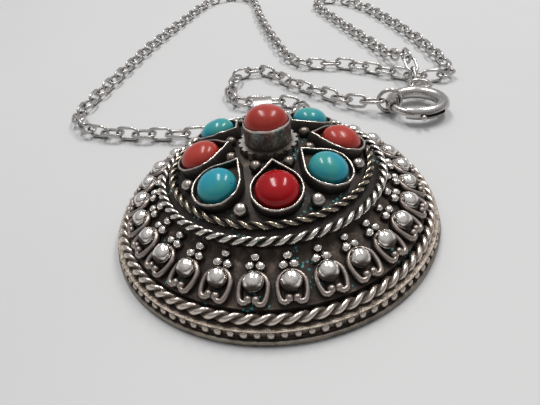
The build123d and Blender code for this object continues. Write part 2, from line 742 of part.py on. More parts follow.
# Each link hangs between two joints on the route, lying flat and standing up by turns
link_count = 2 * ceil((route.length / link_pitch + 1) / 2)
joint_step = route.length / (link_count - 1)
joints = [route_points[0] - (route % 0) * (joint_step / 2)]
for number in range(link_count - 1):
    joints.append(route.position_at((number + 0.5) / (link_count - 1)))
joints.append(route_points[-1] + (route % 1) * (joint_step / 2))
links = []
for number in range(link_count):
    way = (joints[number + 1] - joints[number]).normalized()
    side_way = Vector(0, 0, 1).cross(way).normalized()
    up_way = way.cross(side_way)
    middle = (joints[number] + joints[number + 1]) / 2
    facing = side_way if number % 2 else up_way
    links.append(Plane(origin=middle, x_dir=way, z_dir=facing).location * chain_link.part)
bail_centre = Vector(0, bail_place, through)
from_bail = [(link.center() - bail_centre).length for link in links]
bail_link = from_bail.index(min(from_bail))
first_cut = bail_link - bail_links
last_cut = bail_link + bail_links
chain_stretches = (
    ("chain_right", links[:first_cut]),
    ("chain_bail_right", links[first_cut:bail_link]),
    ("chain_bail_left", links[bail_link:last_cut]),
    ("chain_left", links[last_cut:]),
)
print("links", link_count, "step", round(joint_step, 3), "stretches", [len(s) for _, s in chain_stretches])
for stretch_name, stretch_links in chain_stretches:
    export_step(Compound(label=stretch_name, children=stretch_links), f"parts/{stretch_name}.step")
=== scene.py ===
"""Dressed model of a round silver ghau amulet box on its neck chain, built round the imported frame."""
import logging
import math
from dataclasses import dataclass, field
from enum import Enum
from typing import Any, Callable, Iterable, Sequence

import bmesh
import bpy
from mathutils import Matrix, Vector, noise


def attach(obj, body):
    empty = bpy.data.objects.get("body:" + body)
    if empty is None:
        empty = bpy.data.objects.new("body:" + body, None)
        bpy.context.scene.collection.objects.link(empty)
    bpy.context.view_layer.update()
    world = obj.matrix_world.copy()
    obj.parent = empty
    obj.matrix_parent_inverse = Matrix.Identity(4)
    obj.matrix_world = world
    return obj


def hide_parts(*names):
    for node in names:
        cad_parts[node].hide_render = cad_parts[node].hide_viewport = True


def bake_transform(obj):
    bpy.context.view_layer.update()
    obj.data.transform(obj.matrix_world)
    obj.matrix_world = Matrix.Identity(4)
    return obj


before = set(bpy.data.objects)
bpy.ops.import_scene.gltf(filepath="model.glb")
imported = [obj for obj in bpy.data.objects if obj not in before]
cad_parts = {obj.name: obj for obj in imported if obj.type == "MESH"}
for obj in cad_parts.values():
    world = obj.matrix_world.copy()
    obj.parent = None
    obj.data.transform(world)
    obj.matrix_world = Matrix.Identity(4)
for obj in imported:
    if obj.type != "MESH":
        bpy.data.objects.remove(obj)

MM = 0.001
TURN = 2 * math.pi
# Gap under soldered and seated pieces
SOLDER = 0.01 * MM
# Distance within which corners of a mesh are one corner
WELD = 1e-7
# Angle from which an edge is drawn sharp
SHARP = math.radians(50)
# How far a grain's ball would reach below its flat foot
GRAIN_SINK = 0.15 * MM
# Attribute that says how rubbed a corner is, from 0 to 1, and on the domes also holds a painted dark reflection on
# their lower side
WEAR_AND_REFLECTION = "wear"
# Radius of the box in metres, by which the camera's place was fitted
FIT = 0.019
log = logging.getLogger("ghau")

# Sockets that are reached by number and not by name
MIX_SHARE, MIX_FIRST, MIX_SECOND, MIX_RESULT = 0, 6, 7, 2
CHANCE_LOW, CHANCE_HIGH, CHANCE_SEED, CHANCE_RESULT = 2, 3, 8, 1
ATTRIBUTE_VALUE = 2

Colour = tuple[float, float, float, float]
Point = tuple[float, float, float]

DARK_DUST: Colour = (0.02, 0.22, 0.24, 1)
PALE_DUST: Colour = (0.10, 0.46, 0.44, 1)


class Socket(Enum):
    """Socket types of the node groups."""

    COLOUR = "NodeSocketColor"
    VALUE = "NodeSocketFloat"
    WHOLE = "NodeSocketInt"
    OBJECT = "NodeSocketObject"
    MATERIAL = "NodeSocketMaterial"
    GEOMETRY = "NodeSocketGeometry"


class Body(Enum):
    """Rigid bodies of the frame."""

    BASE = "base"
    FRONT = "front"
    BOLT = "bolt"


class Stone(Enum):
    """Kinds of stone in the settings."""

    RED_CORAL = "red_coral"
    CORAL = "coral"
    TURQUOISE = "turquoise"


@dataclass
class Wiring:
    """Adds nodes to a node tree and links them as they are made."""

    tree: bpy.types.NodeTree

    def fill(self, node: bpy.types.Node, links: dict[Any, Any]) -> None:
        """Links or sets inputs of a node.

        Args:
            node: The node.
            links: Input name or number to a socket to link, or a value to set.
        """
        for key, value in links.items():
            if isinstance(value, bpy.types.NodeSocket):
                self.tree.links.new(value, node.inputs[key])
            else:
                node.inputs[key].default_value = value

    def add(self, kind: str, links: dict[Any, Any] | None = None, **settings: Any) -> bpy.types.Node:
        """Makes one node.

        Args:
            kind: Blender's name for the node type.
            links: Input name or number to a socket to link, or a value to set.
            settings: Properties of the node itself.

        Returns:
            The new node.
        """
        node = self.tree.nodes.new(kind)
        for name, value in settings.items():
            setattr(node, name, value)
        self.fill(node, links or {})
        return node

    def math(self, operation: str, *values: Any) -> bpy.types.NodeSocket:
        """Result of a math node on sockets or numbers."""
        return self.add("ShaderNodeMath", dict(enumerate(values)), operation=operation).outputs[0]

    def vector(self, x: Any, y: Any, z: Any) -> bpy.types.NodeSocket:
        """Vector of three sockets or numbers."""
        return self.add("ShaderNodeCombineXYZ", {0: x, 1: y, 2: z}).outputs[0]

    def mix(self, share: Any, first: Any, second: Any) -> bpy.types.NodeSocket:
        """Colour between two colours at a share from 0 to 1."""
        links = {MIX_SHARE: share, MIX_FIRST: first, MIX_SECOND: second}
        return self.add("ShaderNodeMix", links, data_type="RGBA").outputs[MIX_RESULT]

    def remap(self, value: Any, low: Any, high: Any, to_low: Any = 0.0, to_high: Any = 1.0) -> bpy.types.NodeSocket:
        """Value eased from one range to another and held at its ends."""
        links = {"Value": value, "From Min": low, "From Max": high, "To Min": to_low, "To Max": to_high}
        return self.add("ShaderNodeMapRange", links, interpolation_type="SMOOTHSTEP").outputs[0]

    def place(self) -> bpy.types.NodeSocket:
        """Object coordinates of the surface."""
        return self.add("ShaderNodeTexCoord").outputs["Object"]

    def cloud(self, place: Any, scale: Any, detail: float, rough: float = 0.5) -> bpy.types.NodeSocket:
        """Soft noise from 0 to 1."""
        links = {"Vector": place, "Scale": scale, "Detail": detail, "Roughness": rough}
        return self.add("ShaderNodeTexNoise", links).outputs[0]

    def swing(self, noise_value: Any, size: Any) -> bpy.types.NodeSocket:
        """Noise moved to swing about nought, times a size."""
        return self.math("MULTIPLY", self.math("SUBTRACT", noise_value, 0.5), size)

    def chance(self, low: Any, high: Any, seed: Any) -> bpy.types.NodeSocket:
        """Random number of each copy between two values."""
        links = {CHANCE_LOW: low, CHANCE_HIGH: high, CHANCE_SEED: seed}
        return self.add("FunctionNodeRandomValue", links, data_type="FLOAT").outputs[CHANCE_RESULT]

    def surface(self, links: dict[str, Any]) -> None:
        """Ends a material with a Principled shader that has these inputs."""
        shader = self.add("ShaderNodeBsdfPrincipled", links)
        self.add("ShaderNodeOutputMaterial", {"Surface": shader.outputs[0]})


def open_group(name: str, kind: str, inputs: Sequence[tuple[str, Socket, Any]],
               outputs: Sequence[tuple[str, Socket]]) -> tuple[Wiring, Any, bpy.types.Node]:
    """Starts a node group with named sockets.

    Args:
        name: Name of the group.
        kind: ShaderNodeTree or GeometryNodeTree.
        inputs: Name, socket type and first value of each input.
        outputs: Name and socket type of each output.

    Returns:
        The wiring of the group, the sockets of what it is given, and its output node.
    """
    tree = bpy.data.node_groups.new(name, kind)
    for title, socket_type, value in inputs:
        socket = tree.interface.new_socket(title, in_out="INPUT", socket_type=socket_type.value)
        if value is not None:
            socket.default_value = value
    for title, socket_type in outputs:
        tree.interface.new_socket(title, in_out="OUTPUT", socket_type=socket_type.value)
    wiring = Wiring(tree)
    return wiring, wiring.add("NodeGroupInput").outputs, wiring.add("NodeGroupOutput")


def make_patina_group() -> bpy.types.NodeTree:
    """Shader group of old silver: bright where it is rubbed, brown between, black in the recesses.

    Returns:
        The group, with a Cavity input that is 1 on open metal and 0 in a deep recess.
    """
    colour, value = Socket.COLOUR, Socket.VALUE
    inputs = [("Cavity", value, 1.0), ("Bright", colour, (0.8, 0.8, 0.8, 1)), ("Warm", colour, (0.4, 0.36, 0.33, 1)),
              ("Dark", colour, (0.02, 0.02, 0.02, 1)), ("Low", value, 0.3), ("High", value, 0.8),
              ("Grain", value, 900.0), ("Mottle", value, 0.3), ("Polish", value, 0.2)]
    wiring, given, put = open_group("OldSilver", "ShaderNodeTree", inputs,
                                    [("Color", colour), ("Roughness", value), ("Metallic", value), ("Height", value)])
    fine_scale, fine_share, fine_rough = 4.3, 0.6, 0.16
    black_below, black_metal, dull = 0.55, 0.45, 0.52
    place = wiring.place()
    cloud = wiring.cloud(place, given["Grain"], 5.0, 0.62)
    fine = wiring.cloud(place, wiring.math("MULTIPLY", given["Grain"], fine_scale), 3.0)
    mottle = wiring.math("ADD", wiring.swing(cloud, given["Mottle"]),
                         wiring.swing(fine, wiring.math("MULTIPLY", given["Mottle"], fine_share)))
    bare = wiring.math("ADD", given["Cavity"], mottle)
    rubbed = wiring.remap(bare, given["Low"], given["High"])
    clear = wiring.remap(bare, wiring.math("MULTIPLY", given["Low"], black_below), given["High"])
    tone = wiring.mix(rubbed, given["Warm"], given["Bright"])
    rough = wiring.remap(rubbed, 0.0, 1.0, dull, given["Polish"])
    wiring.fill(put, {
        "Color": wiring.mix(clear, given["Dark"], tone),
        "Roughness": wiring.math("ADD", rough, wiring.swing(fine, fine_rough)),
        "Metallic": wiring.remap(clear, 0.0, 0.7, black_metal, 1.0),
        "Height": wiring.math("ADD", wiring.math("MULTIPLY", cloud, 0.7), wiring.math("MULTIPLY", fine, 0.3))})
    return wiring.tree


def make_dust_group() -> bpy.types.NodeTree:
    """Shader group of scattered specks of stone dust.

    Returns:
        The group, whose Mask output is 1 on a speck.
    """
    value = Socket.VALUE
    wiring, given, put = open_group("StoneDust", "ShaderNodeTree",
                                    [("Scale", value, 2600.0), ("Amount", value, 0.1), ("Size", value, 0.36)],
                                    [("Mask", value), ("Tint", value)])
    warp_scale, warp_reach, patch_scale = 2600.0, 0.4 * MM, 260.0
    place = wiring.place()
    warp = wiring.add("ShaderNodeTexNoise", {"Vector": place, "Scale": warp_scale, "Detail": 2.0})
    reach = wiring.add("ShaderNodeVectorMath", {0: warp.outputs["Color"], "Scale": warp_reach}, operation="SCALE")
    bent = wiring.add("ShaderNodeVectorMath", {0: place, 1: reach.outputs[0]}, operation="ADD")
    cells = wiring.add("ShaderNodeTexVoronoi", {"Vector": bent.outputs[0], "Scale": given["Scale"]})
    shade = wiring.add("ShaderNodeSeparateColor", {0: cells.outputs["Color"]})
    patch = wiring.remap(wiring.cloud(place, patch_scale, 2.0), 0.50, 0.66)
    chosen = wiring.math("LESS_THAN", shade.outputs[0], wiring.math("MULTIPLY", given["Amount"], patch))
    near = wiring.math("LESS_THAN", cells.outputs["Distance"], given["Size"])
    wiring.fill(put, {"Mask": wiring.math("MULTIPLY", chosen, near), "Tint": shade.outputs[1]})
    return wiring.tree


def make_stone_group() -> bpy.types.NodeTree:
    """Shader group of a polished stone: soft patches of two colours, and dark pits.

    Returns:
        The group with Color, Roughness and Height outputs.
    """
    colour, value = Socket.COLOUR, Socket.VALUE
    inputs = [("Main", colour, (0.5, 0.1, 0.1, 1)), ("Patch", colour, (0.4, 0.1, 0.1, 1)),
              ("Pit", colour, (0.05, 0.02, 0.02, 1)), ("Scale", value, 400.0), ("Pits", value, 0.1),
              ("Polish", value, 0.2)]
    wiring, given, put = open_group("PolishedStone", "ShaderNodeTree", inputs,
                                    [("Color", colour), ("Roughness", value), ("Height", value)])
    fine_scale, fine_rough, fine_height = 6.0, 0.14, 0.3
    pit_scale, pit_colour, pit_rough = 4.6, 0.8, 0.3
    place = wiring.place()
    cloud = wiring.cloud(place, given["Scale"], 4.0, 0.55)
    fine = wiring.cloud(place, wiring.math("MULTIPLY", given["Scale"], fine_scale), 3.0)
    body = wiring.mix(wiring.remap(cloud, 0.38, 0.64), given["Main"], given["Patch"])
    cells = wiring.add("ShaderNodeTexVoronoi", {
        "Vector": place, "Scale": wiring.math("MULTIPLY", given["Scale"], pit_scale)})
    shade = wiring.add("ShaderNodeSeparateColor", {0: cells.outputs["Color"]})
    pit = wiring.math("MULTIPLY", wiring.math("LESS_THAN", shade.outputs[0], given["Pits"]),
                      wiring.remap(cells.outputs["Distance"], 0.30, 0.12))
    rough = wiring.math("ADD", given["Polish"], wiring.math("MULTIPLY", fine, fine_rough))
    wiring.fill(put, {
        "Color": wiring.mix(wiring.math("MULTIPLY", pit, pit_colour), body, given["Pit"]),
        "Roughness": wiring.math("ADD", rough, wiring.math("MULTIPLY", pit, pit_rough)),
        "Height": wiring.math("SUBTRACT", wiring.math("MULTIPLY", fine, fine_height), pit)})
    return wiring.tree


def blank_material(name: str) -> tuple[bpy.types.Material, Wiring]:
    """New material with an empty node tree, and the wiring of that tree.

    Args:
        name: Name of the material.

    Returns:
        The material and its wiring.
    """
    material = bpy.data.materials.new(name)
    material.use_nodes = True
    material.node_tree.nodes.clear()
    return material, Wiring(material.node_tree)


@dataclass(frozen=True)
class SilverFinish:
    """One tone of old silver.

    Recess is the distance in metres over which a neighbour shades the metal, and low and high are the
    openness at which patina gives way to rubbed metal. Dent is the depth of its pits in mm. A tone that takes
    wear and reflection also reads the mesh's wear attribute: rubbed wear, and on the domes a painted dark
    reflection on their lower side.
    """

    name: str
    bright: Colour = (0.78, 0.745, 0.70, 1)
    warm: Colour = (0.33, 0.275, 0.245, 1)
    dark: Colour = (0.034, 0.028, 0.024, 1)
    recess: float = 0.9 * MM
    low: float = 0.30
    high: float = 0.78
    grain: float = 900.0
    mottle: float = 0.30
    polish: float = 0.20
    dent: float = 0.05
    dust: float = 0.0
    takes_wear_and_reflection: bool = False

    def make(self, patina: bpy.types.NodeTree, dust: bpy.types.NodeTree) -> bpy.types.Material:
        """Builds the material.

        Args:
            patina: The old silver group.
            dust: The stone dust group.

        Returns:
            The material.
        """
        material, wiring = blank_material(self.name)
        cavity = wiring.add("ShaderNodeAmbientOcclusion", {"Distance": self.recess}, samples=12).outputs["AO"]
        # The wear attribute holds rubbed wear, and on the domes a painted dark reflection on their lower side
        if self.takes_wear_and_reflection:
            wear = wiring.add("ShaderNodeAttribute", attribute_name=WEAR_AND_REFLECTION).outputs[ATTRIBUTE_VALUE]
            cavity = wiring.math("MULTIPLY", cavity, wear)
        coat = wiring.add("ShaderNodeGroup", {
            "Cavity": cavity, "Bright": self.bright, "Warm": self.warm, "Dark": self.dark, "Low": self.low,
            "High": self.high, "Grain": self.grain, "Mottle": self.mottle, "Polish": self.polish},
            node_tree=patina).outputs
        colour, metal = coat["Color"], coat["Metallic"]
        if self.dust > 0:
            specks = wiring.add("ShaderNodeGroup", {"Amount": self.dust}, node_tree=dust).outputs
            tint = wiring.mix(specks["Tint"], DARK_DUST, PALE_DUST)
            colour = wiring.mix(specks["Mask"], colour, tint)
            metal = wiring.math("MULTIPLY", metal, wiring.math("SUBTRACT", 1.0, specks["Mask"]))
        bump = wiring.add("ShaderNodeBump", {"Height": coat["Height"], "Strength": 0.6, "Distance": self.dent * MM})
        wiring.surface({"Base Color": colour, "Roughness": coat["Roughness"], "Metallic": metal,
                        "Normal": bump.outputs[0]})
        return material


@dataclass(frozen=True)
class StoneFinish:
    """One kind of polished stone, with dent the depth of its pits in mm."""

    name: str
    main: Colour
    patch: Colour
    pit: Colour
    scale: float = 420.0
    pits: float = 0.06
    polish: float = 0.16
    gloss: float = 0.35
    dent: float = 0.02

    def make(self, stone: bpy.types.NodeTree) -> bpy.types.Material:
        """Builds the material.

        Args:
            stone: The polished stone group.

        Returns:
            The material.
        """
        material, wiring = blank_material(self.name)
        body = wiring.add("ShaderNodeGroup", {
            "Main": self.main, "Patch": self.patch, "Pit": self.pit, "Scale": self.scale, "Pits": self.pits,
            "Polish": self.polish}, node_tree=stone).outputs
        bump = wiring.add("ShaderNodeBump", {"Height": body["Height"], "Strength": 0.5, "Distance": self.dent * MM})
        wiring.surface({"Base Color": body["Color"], "Roughness": body["Roughness"], "Specular IOR Level": self.gloss,
                        "Normal": bump.outputs[0]})
        return material


@dataclass
class Finishes:
    """Every material of the piece, made once."""

    silver: dict[str, bpy.types.Material] = field(default_factory=dict)
    stone: dict[Stone, bpy.types.Material] = field(default_factory=dict)

    def make(self) -> None:
        """Builds the groups and the materials that use them."""
        patina, dust, stone = make_patina_group(), make_dust_group(), make_stone_group()
        tones = [
            SilverFinish("blackened_case", bright=(0.15, 0.122, 0.102, 1), warm=(0.062, 0.048, 0.040, 1),
                         dark=(0.028, 0.024, 0.021, 1), low=0.60, high=1.12, recess=2.2 * MM, mottle=0.9, polish=0.38,
                         dent=0.12, grain=620.0, dust=0.55),
            SilverFinish("brown_case", bright=(0.17, 0.136, 0.112, 1), warm=(0.060, 0.046, 0.038, 1),
                         dark=(0.034, 0.027, 0.023, 1), low=0.58, high=1.1, recess=2.0 * MM, mottle=1.0, polish=0.40,
                         dent=0.14, grain=620.0, dust=0.5),
            SilverFinish("rubbed_silver", bright=(0.84, 0.80, 0.75, 1), warm=(0.30, 0.245, 0.215, 1)),
            # The domes read the wear attribute, whose darker lower side is a painted reflection of the dark case
            SilverFinish("dome_silver", bright=(0.90, 0.86, 0.81, 1), warm=(0.17, 0.115, 0.09, 1), low=0.40, high=0.84,
                         mottle=0.42, polish=0.15, dent=0.10, takes_wear_and_reflection=True),
            SilverFinish("grain_silver", bright=(0.50, 0.46, 0.42, 1), warm=(0.16, 0.13, 0.11, 1), low=0.40, high=0.98,
                         mottle=0.6, polish=0.28, dent=0.09),
            SilverFinish("dark_grain_silver", bright=(0.27, 0.235, 0.20, 1), warm=(0.09, 0.072, 0.060, 1), low=0.45,
                         high=1.05, mottle=0.6, polish=0.32, dent=0.09),
            SilverFinish("rope_silver", bright=(0.72, 0.68, 0.62, 1), warm=(0.26, 0.215, 0.185, 1), low=0.26, high=0.66,
                         recess=0.6 * MM, dust=0.05, takes_wear_and_reflection=True),
            SilverFinish("lower_rope_silver", bright=(0.70, 0.625, 0.555, 1), warm=(0.40, 0.315, 0.262, 1),
                         dark=(0.15, 0.117, 0.096, 1), low=0.06, high=0.60, recess=0.6 * MM, mottle=0.45, polish=0.26,
                         dust=0.04, takes_wear_and_reflection=True),
            SilverFinish("inner_rope_silver", bright=(0.38, 0.33, 0.255, 1), warm=(0.13, 0.104, 0.076, 1), low=0.32,
                         high=0.84, recess=0.6 * MM, dust=0.05, takes_wear_and_reflection=True),
            SilverFinish("loop_silver", bright=(0.40, 0.345, 0.31, 1), warm=(0.22, 0.172, 0.148, 1), low=0.28,
                         high=0.98, mottle=0.5, polish=0.34, dent=0.08),
            SilverFinish("rim_silver", bright=(0.58, 0.51, 0.45, 1), warm=(0.21, 0.166, 0.136, 1),
                         dark=(0.085, 0.068, 0.055, 1), low=0.34, high=0.96, recess=0.6 * MM, mottle=0.6, polish=0.32,
                         dent=0.08),
            SilverFinish("pitted_rim", bright=(0.40, 0.345, 0.29, 1), warm=(0.17, 0.132, 0.106, 1),
                         dark=(0.085, 0.068, 0.055, 1), low=0.34, high=1.04, recess=0.7 * MM, mottle=1.1, grain=1300.0,
                         polish=0.42, dent=0.22),
            SilverFinish("bezel_silver", bright=(0.62, 0.565, 0.51, 1), warm=(0.17, 0.138, 0.115, 1), low=0.38,
                         high=0.90, mottle=0.5, polish=0.26, takes_wear_and_reflection=True),
            SilverFinish("collar_silver", bright=(0.82, 0.77, 0.71, 1), warm=(0.23, 0.187, 0.158, 1), low=0.42,
                         high=0.84, polish=0.26),
            SilverFinish("cup_silver", bright=(0.60, 0.55, 0.50, 1), warm=(0.11, 0.089, 0.076, 1), low=0.36, high=0.90,
                         mottle=0.75, polish=0.34, dent=0.10, takes_wear_and_reflection=True),
            SilverFinish("back_silver", bright=(0.33, 0.295, 0.245, 1), warm=(0.13, 0.108, 0.084, 1), low=0.28,
                         high=1.0, mottle=0.9, grain=420.0, polish=0.36, dent=0.06),
            SilverFinish("chain_silver", bright=(0.56, 0.54, 0.52, 1), warm=(0.21, 0.19, 0.175, 1),
                         dark=(0.03, 0.026, 0.024, 1), low=0.34, high=0.92, recess=0.7 * MM, polish=0.26),
            SilverFinish("setting_lac", bright=(0.06, 0.045, 0.035, 1), warm=(0.03, 0.022, 0.018, 1),
                         dark=(0.012, 0.010, 0.008, 1), polish=0.6, dust=0.3),
        ]
        self.silver = {tone.name: tone.make(patina, dust) for tone in tones}
        self.stone = {
            Stone.RED_CORAL: StoneFinish("deep_coral", (0.41, 0.004, 0.008, 1), (0.32, 0.003, 0.006, 1),
                                         (0.12, 0.004, 0.004, 1), pits=0.02, polish=0.08, gloss=0.30).make(stone),
            Stone.CORAL: StoneFinish("salmon_coral", (0.46, 0.046, 0.031, 1), (0.38, 0.032, 0.022, 1),
                                     (0.16, 0.020, 0.014, 1), pits=0.05, polish=0.16).make(stone),
            Stone.TURQUOISE: StoneFinish("turquoise", (0.020, 0.320, 0.425, 1), (0.050, 0.350, 0.335, 1),
                                         (0.010, 0.085, 0.10, 1), pits=0.10, polish=0.12).make(stone),
        }

    def dress(self, node: str, material: bpy.types.Material) -> None:
        """Gives a node of the frame one material.

        Args:
            node: Name of the node.
            material: Its material.
        """
        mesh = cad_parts[node].data
        mesh.materials.clear()
        mesh.materials.append(material)
        log.info("dressed %s in %s", node, material.name)


def new_object(name: str, mesh: bpy.types.Mesh) -> bpy.types.Object:
    """Object of a mesh, in the scene."""
    piece = bpy.data.objects.new(name, mesh)
    bpy.context.scene.collection.objects.link(piece)
    return piece


def mesh_from(name: str, points: Iterable[Any], faces: Iterable[Sequence[int]]) -> bpy.types.Mesh:
    """Smooth mesh with its faces turned outwards.

    Args:
        name: Name of the mesh.
        points: Places of its corners.
        faces: Corner numbers of each face.

    Returns:
        The mesh.
    """
    mesh = bpy.data.meshes.new(name)
    mesh.from_pydata([tuple(point) for point in points], [], [tuple(face) for face in faces])
    tidy = bmesh.new()
    tidy.from_mesh(mesh)
    bmesh.ops.remove_doubles(tidy, verts=tidy.verts, dist=WELD)
    bmesh.ops.recalc_face_normals(tidy, faces=tidy.faces)
    tidy.to_mesh(mesh)
    tidy.free()
    mesh.shade_smooth()
    return mesh


def tube_faces(rings: int, sides: int, closed: bool) -> list[tuple[int, ...]]:
    """Faces of a tube of rings of corners, numbered ring by ring.

    Args:
        rings: Number of rings.
        sides: Corners in each ring.
        closed: Whether the last ring joins the first.

    Returns:
        Corner numbers of each face, with flat ends on an open tube.
    """
    faces: list[tuple[int, ...]] = []
    for ring in range(rings if closed else rings - 1):
        here, there = ring * sides, (ring + 1) % rings * sides
        for side in range(sides):
            beside = (side + 1) % sides
            faces.append((here + side, here + beside, there + beside, there + side))
    if not closed:
        faces.append(tuple(range(sides)))
        faces.append(tuple(range((rings - 1) * sides, rings * sides)))
    return faces


def lathe(name: str, profile: Sequence[tuple[float, float]], sides: int,
          shift: Callable[[Vector], Vector] | None = None) -> bpy.types.Mesh:
    """Solid turned about Z from a profile that starts and ends on the axis.

    Args:
        name: Name of the mesh.
        profile: Radius and height of each ring, bottom to top.
        sides: Corners in each ring.
        shift: Moves each corner, for a hand-made shape.

    Returns:
        The mesh.
    """
    points: list[Vector] = []
    for radius, height in profile:
        for side in range(sides):
            angle = TURN * side / sides
            point = Vector((radius * math.cos(angle), radius * math.sin(angle), height))
            points.append(shift(point) if shift else point)
    return mesh_from(name, points, tube_faces(len(profile), sides, False))


def store_wear_and_reflection(mesh: bpy.types.Mesh, wear: Sequence[float]) -> None:
    """Writes how rubbed each corner of a mesh is, and on the domes a painted dark reflection on their lower side, for
    the tones that read it.
    """
    mesh.attributes.new(WEAR_AND_REFLECTION, "FLOAT", "POINT").data.foreach_set("value", wear)


def eased(value: float, low: float, high: float) -> float:
    """Share of the way from low to high, eased and held at both ends."""
    share = min(1.0, max(0.0, (value - low) / (high - low)))
    return share * share * (3 - 2 * share)


def melted_grain(name: str, radius: float) -> bpy.types.Mesh:
    """Small melted grain with a flat foot.

    Args:
        name: Name of the mesh.
        radius: Its radius.

    Returns:
        The mesh.
    """
    steps, centre = 8, radius - GRAIN_SINK
    low = math.asin(max(-1.0, -(centre - SOLDER) / radius))
    profile = [(0.0, SOLDER)]
    for step in range(steps + 1):
        lift = low + (math.pi / 2 - low) * step / steps
        profile.append((radius * math.cos(lift) if step < steps else 0.0, centre + radius * math.sin(lift)))

    def melted(point: Vector) -> Vector:
        """Swells one side and flattens the top a little."""
        top, flatness, swell_scale, swell = 0.8, 0.28, 2.2, 0.03
        way = point.normalized()
        flat = max(0.0, way.z - top) * flatness
        return Vector((point.x, point.y, point.z * (1 - flat))) + way * noise.noise(way * swell_scale) * swell * MM

    return lathe(name, profile, 16, melted)


@dataclass
class Scatter:
    """Runs a Geometry Nodes tree on an object made for it and keeps the result as a plain mesh."""

    tree: bpy.types.NodeTree

    def run(self, name: str, values: dict[str, Any], source: bpy.types.Mesh | None = None) -> bpy.types.Mesh:
        """Evaluates the tree once.

        Args:
            name: Name of the new mesh.
            values: Named inputs of the tree.
            source: Mesh that the tree starts from, if it has one.

        Returns:
            The plain mesh.
        """
        holder = new_object(name + "_tree", source or bpy.data.meshes.new(name + "_seed"))
        modifier = holder.modifiers.new("Nodes", "NODES")
        modifier.node_group = self.tree
        for item in self.tree.interface.items_tree:
            if item.in_out == "INPUT" and item.name in values:
                modifier[item.identifier] = values[item.name]
        graph = bpy.context.evaluated_depsgraph_get()
        mesh = bpy.data.meshes.new_from_object(holder.evaluated_get(graph), depsgraph=graph)
        mesh.name = name
        holder.modifiers.remove(modifier)
        bpy.data.objects.remove(holder)
        return mesh


def close_tree(wiring: Wiring, given: Any, put: bpy.types.Node, copies: bpy.types.Node) -> bpy.types.NodeTree:
    """Ends a Geometry Nodes tree: its copies become plain mesh and take the tree's material.

    Args:
        wiring: Wiring of the tree.
        given: Sockets of what the tree is given, with a Material.
        put: Output node of the tree.
        copies: Node that puts out the copies.

    Returns:
        The finished tree.
    """
    real = wiring.add("GeometryNodeRealizeInstances", {"Geometry": copies.outputs[0]})
    clad = wiring.add("GeometryNodeSetMaterial", {"Geometry": real.outputs[0], "Material": given["Material"]})
    wiring.fill(put, {"Geometry": clad.outputs[0]})
    return wiring.tree


def make_ring_tree() -> bpy.types.NodeTree:
    """Geometry Nodes tree that sets copies of one piece in a row round the Z axis.

    Returns:
        The tree.
    """
    number, whole = Socket.VALUE, Socket.WHOLE
    inputs = [("Piece", Socket.OBJECT, None), ("Count", whole, 8), ("Start", number, 0.0), ("Step", number, 0.1),
              ("Radius", number, 0.01), ("Height", number, 0.0), ("Tilt", number, 0.0), ("Swell", number, 0.0),
              ("Spin", number, 0.0), ("Lean", number, 0.0), ("Stray", number, 0.0), ("Seed", whole, 0),
              ("Material", Socket.MATERIAL, None)]
    wiring, given, put = open_group("RingRow", "GeometryNodeTree", inputs, [("Geometry", Socket.GEOMETRY)])
    index = wiring.add("GeometryNodeInputIndex").outputs[0]

    def around(title: str, offset: int) -> bpy.types.NodeSocket:
        """Random number of each copy within plus and minus a named input."""
        seed = wiring.math("ADD", given["Seed"], float(offset))
        return wiring.chance(wiring.math("MULTIPLY", given[title], -1.0), given[title], seed)

    angle = wiring.math("ADD", given["Start"], wiring.math("MULTIPLY", given["Step"], index))
    turned = wiring.math("ADD", angle, wiring.math("DIVIDE", around("Stray", 1), given["Radius"]))
    out = wiring.math("ADD", given["Radius"], around("Stray", 2))
    place = wiring.vector(wiring.math("MULTIPLY", out, wiring.math("COSINE", turned)),
                          wiring.math("MULTIPLY", out, wiring.math("SINE", turned)), given["Height"])
    points = wiring.add("GeometryNodePoints", {"Count": given["Count"], "Position": place})
    tilt = wiring.math("ADD", given["Tilt"], around("Lean", 3))
    shape = wiring.add("GeometryNodeObjectInfo", {"Object": given["Piece"]})
    size = wiring.math("ADD", 1.0, around("Swell", 4))
    copies = wiring.add("GeometryNodeInstanceOnPoints", {
        "Points": points.outputs[0], "Instance": shape.outputs["Geometry"],
        "Rotation": wiring.vector(around("Lean", 5), tilt, turned), "Scale": wiring.vector(size, size, size)})
    spun = wiring.add("GeometryNodeRotateInstances", {
        "Instances": copies.outputs[0], "Rotation": wiring.vector(0.0, 0.0, around("Spin", 6)), "Local Space": True})
    return close_tree(wiring, given, put, spun)


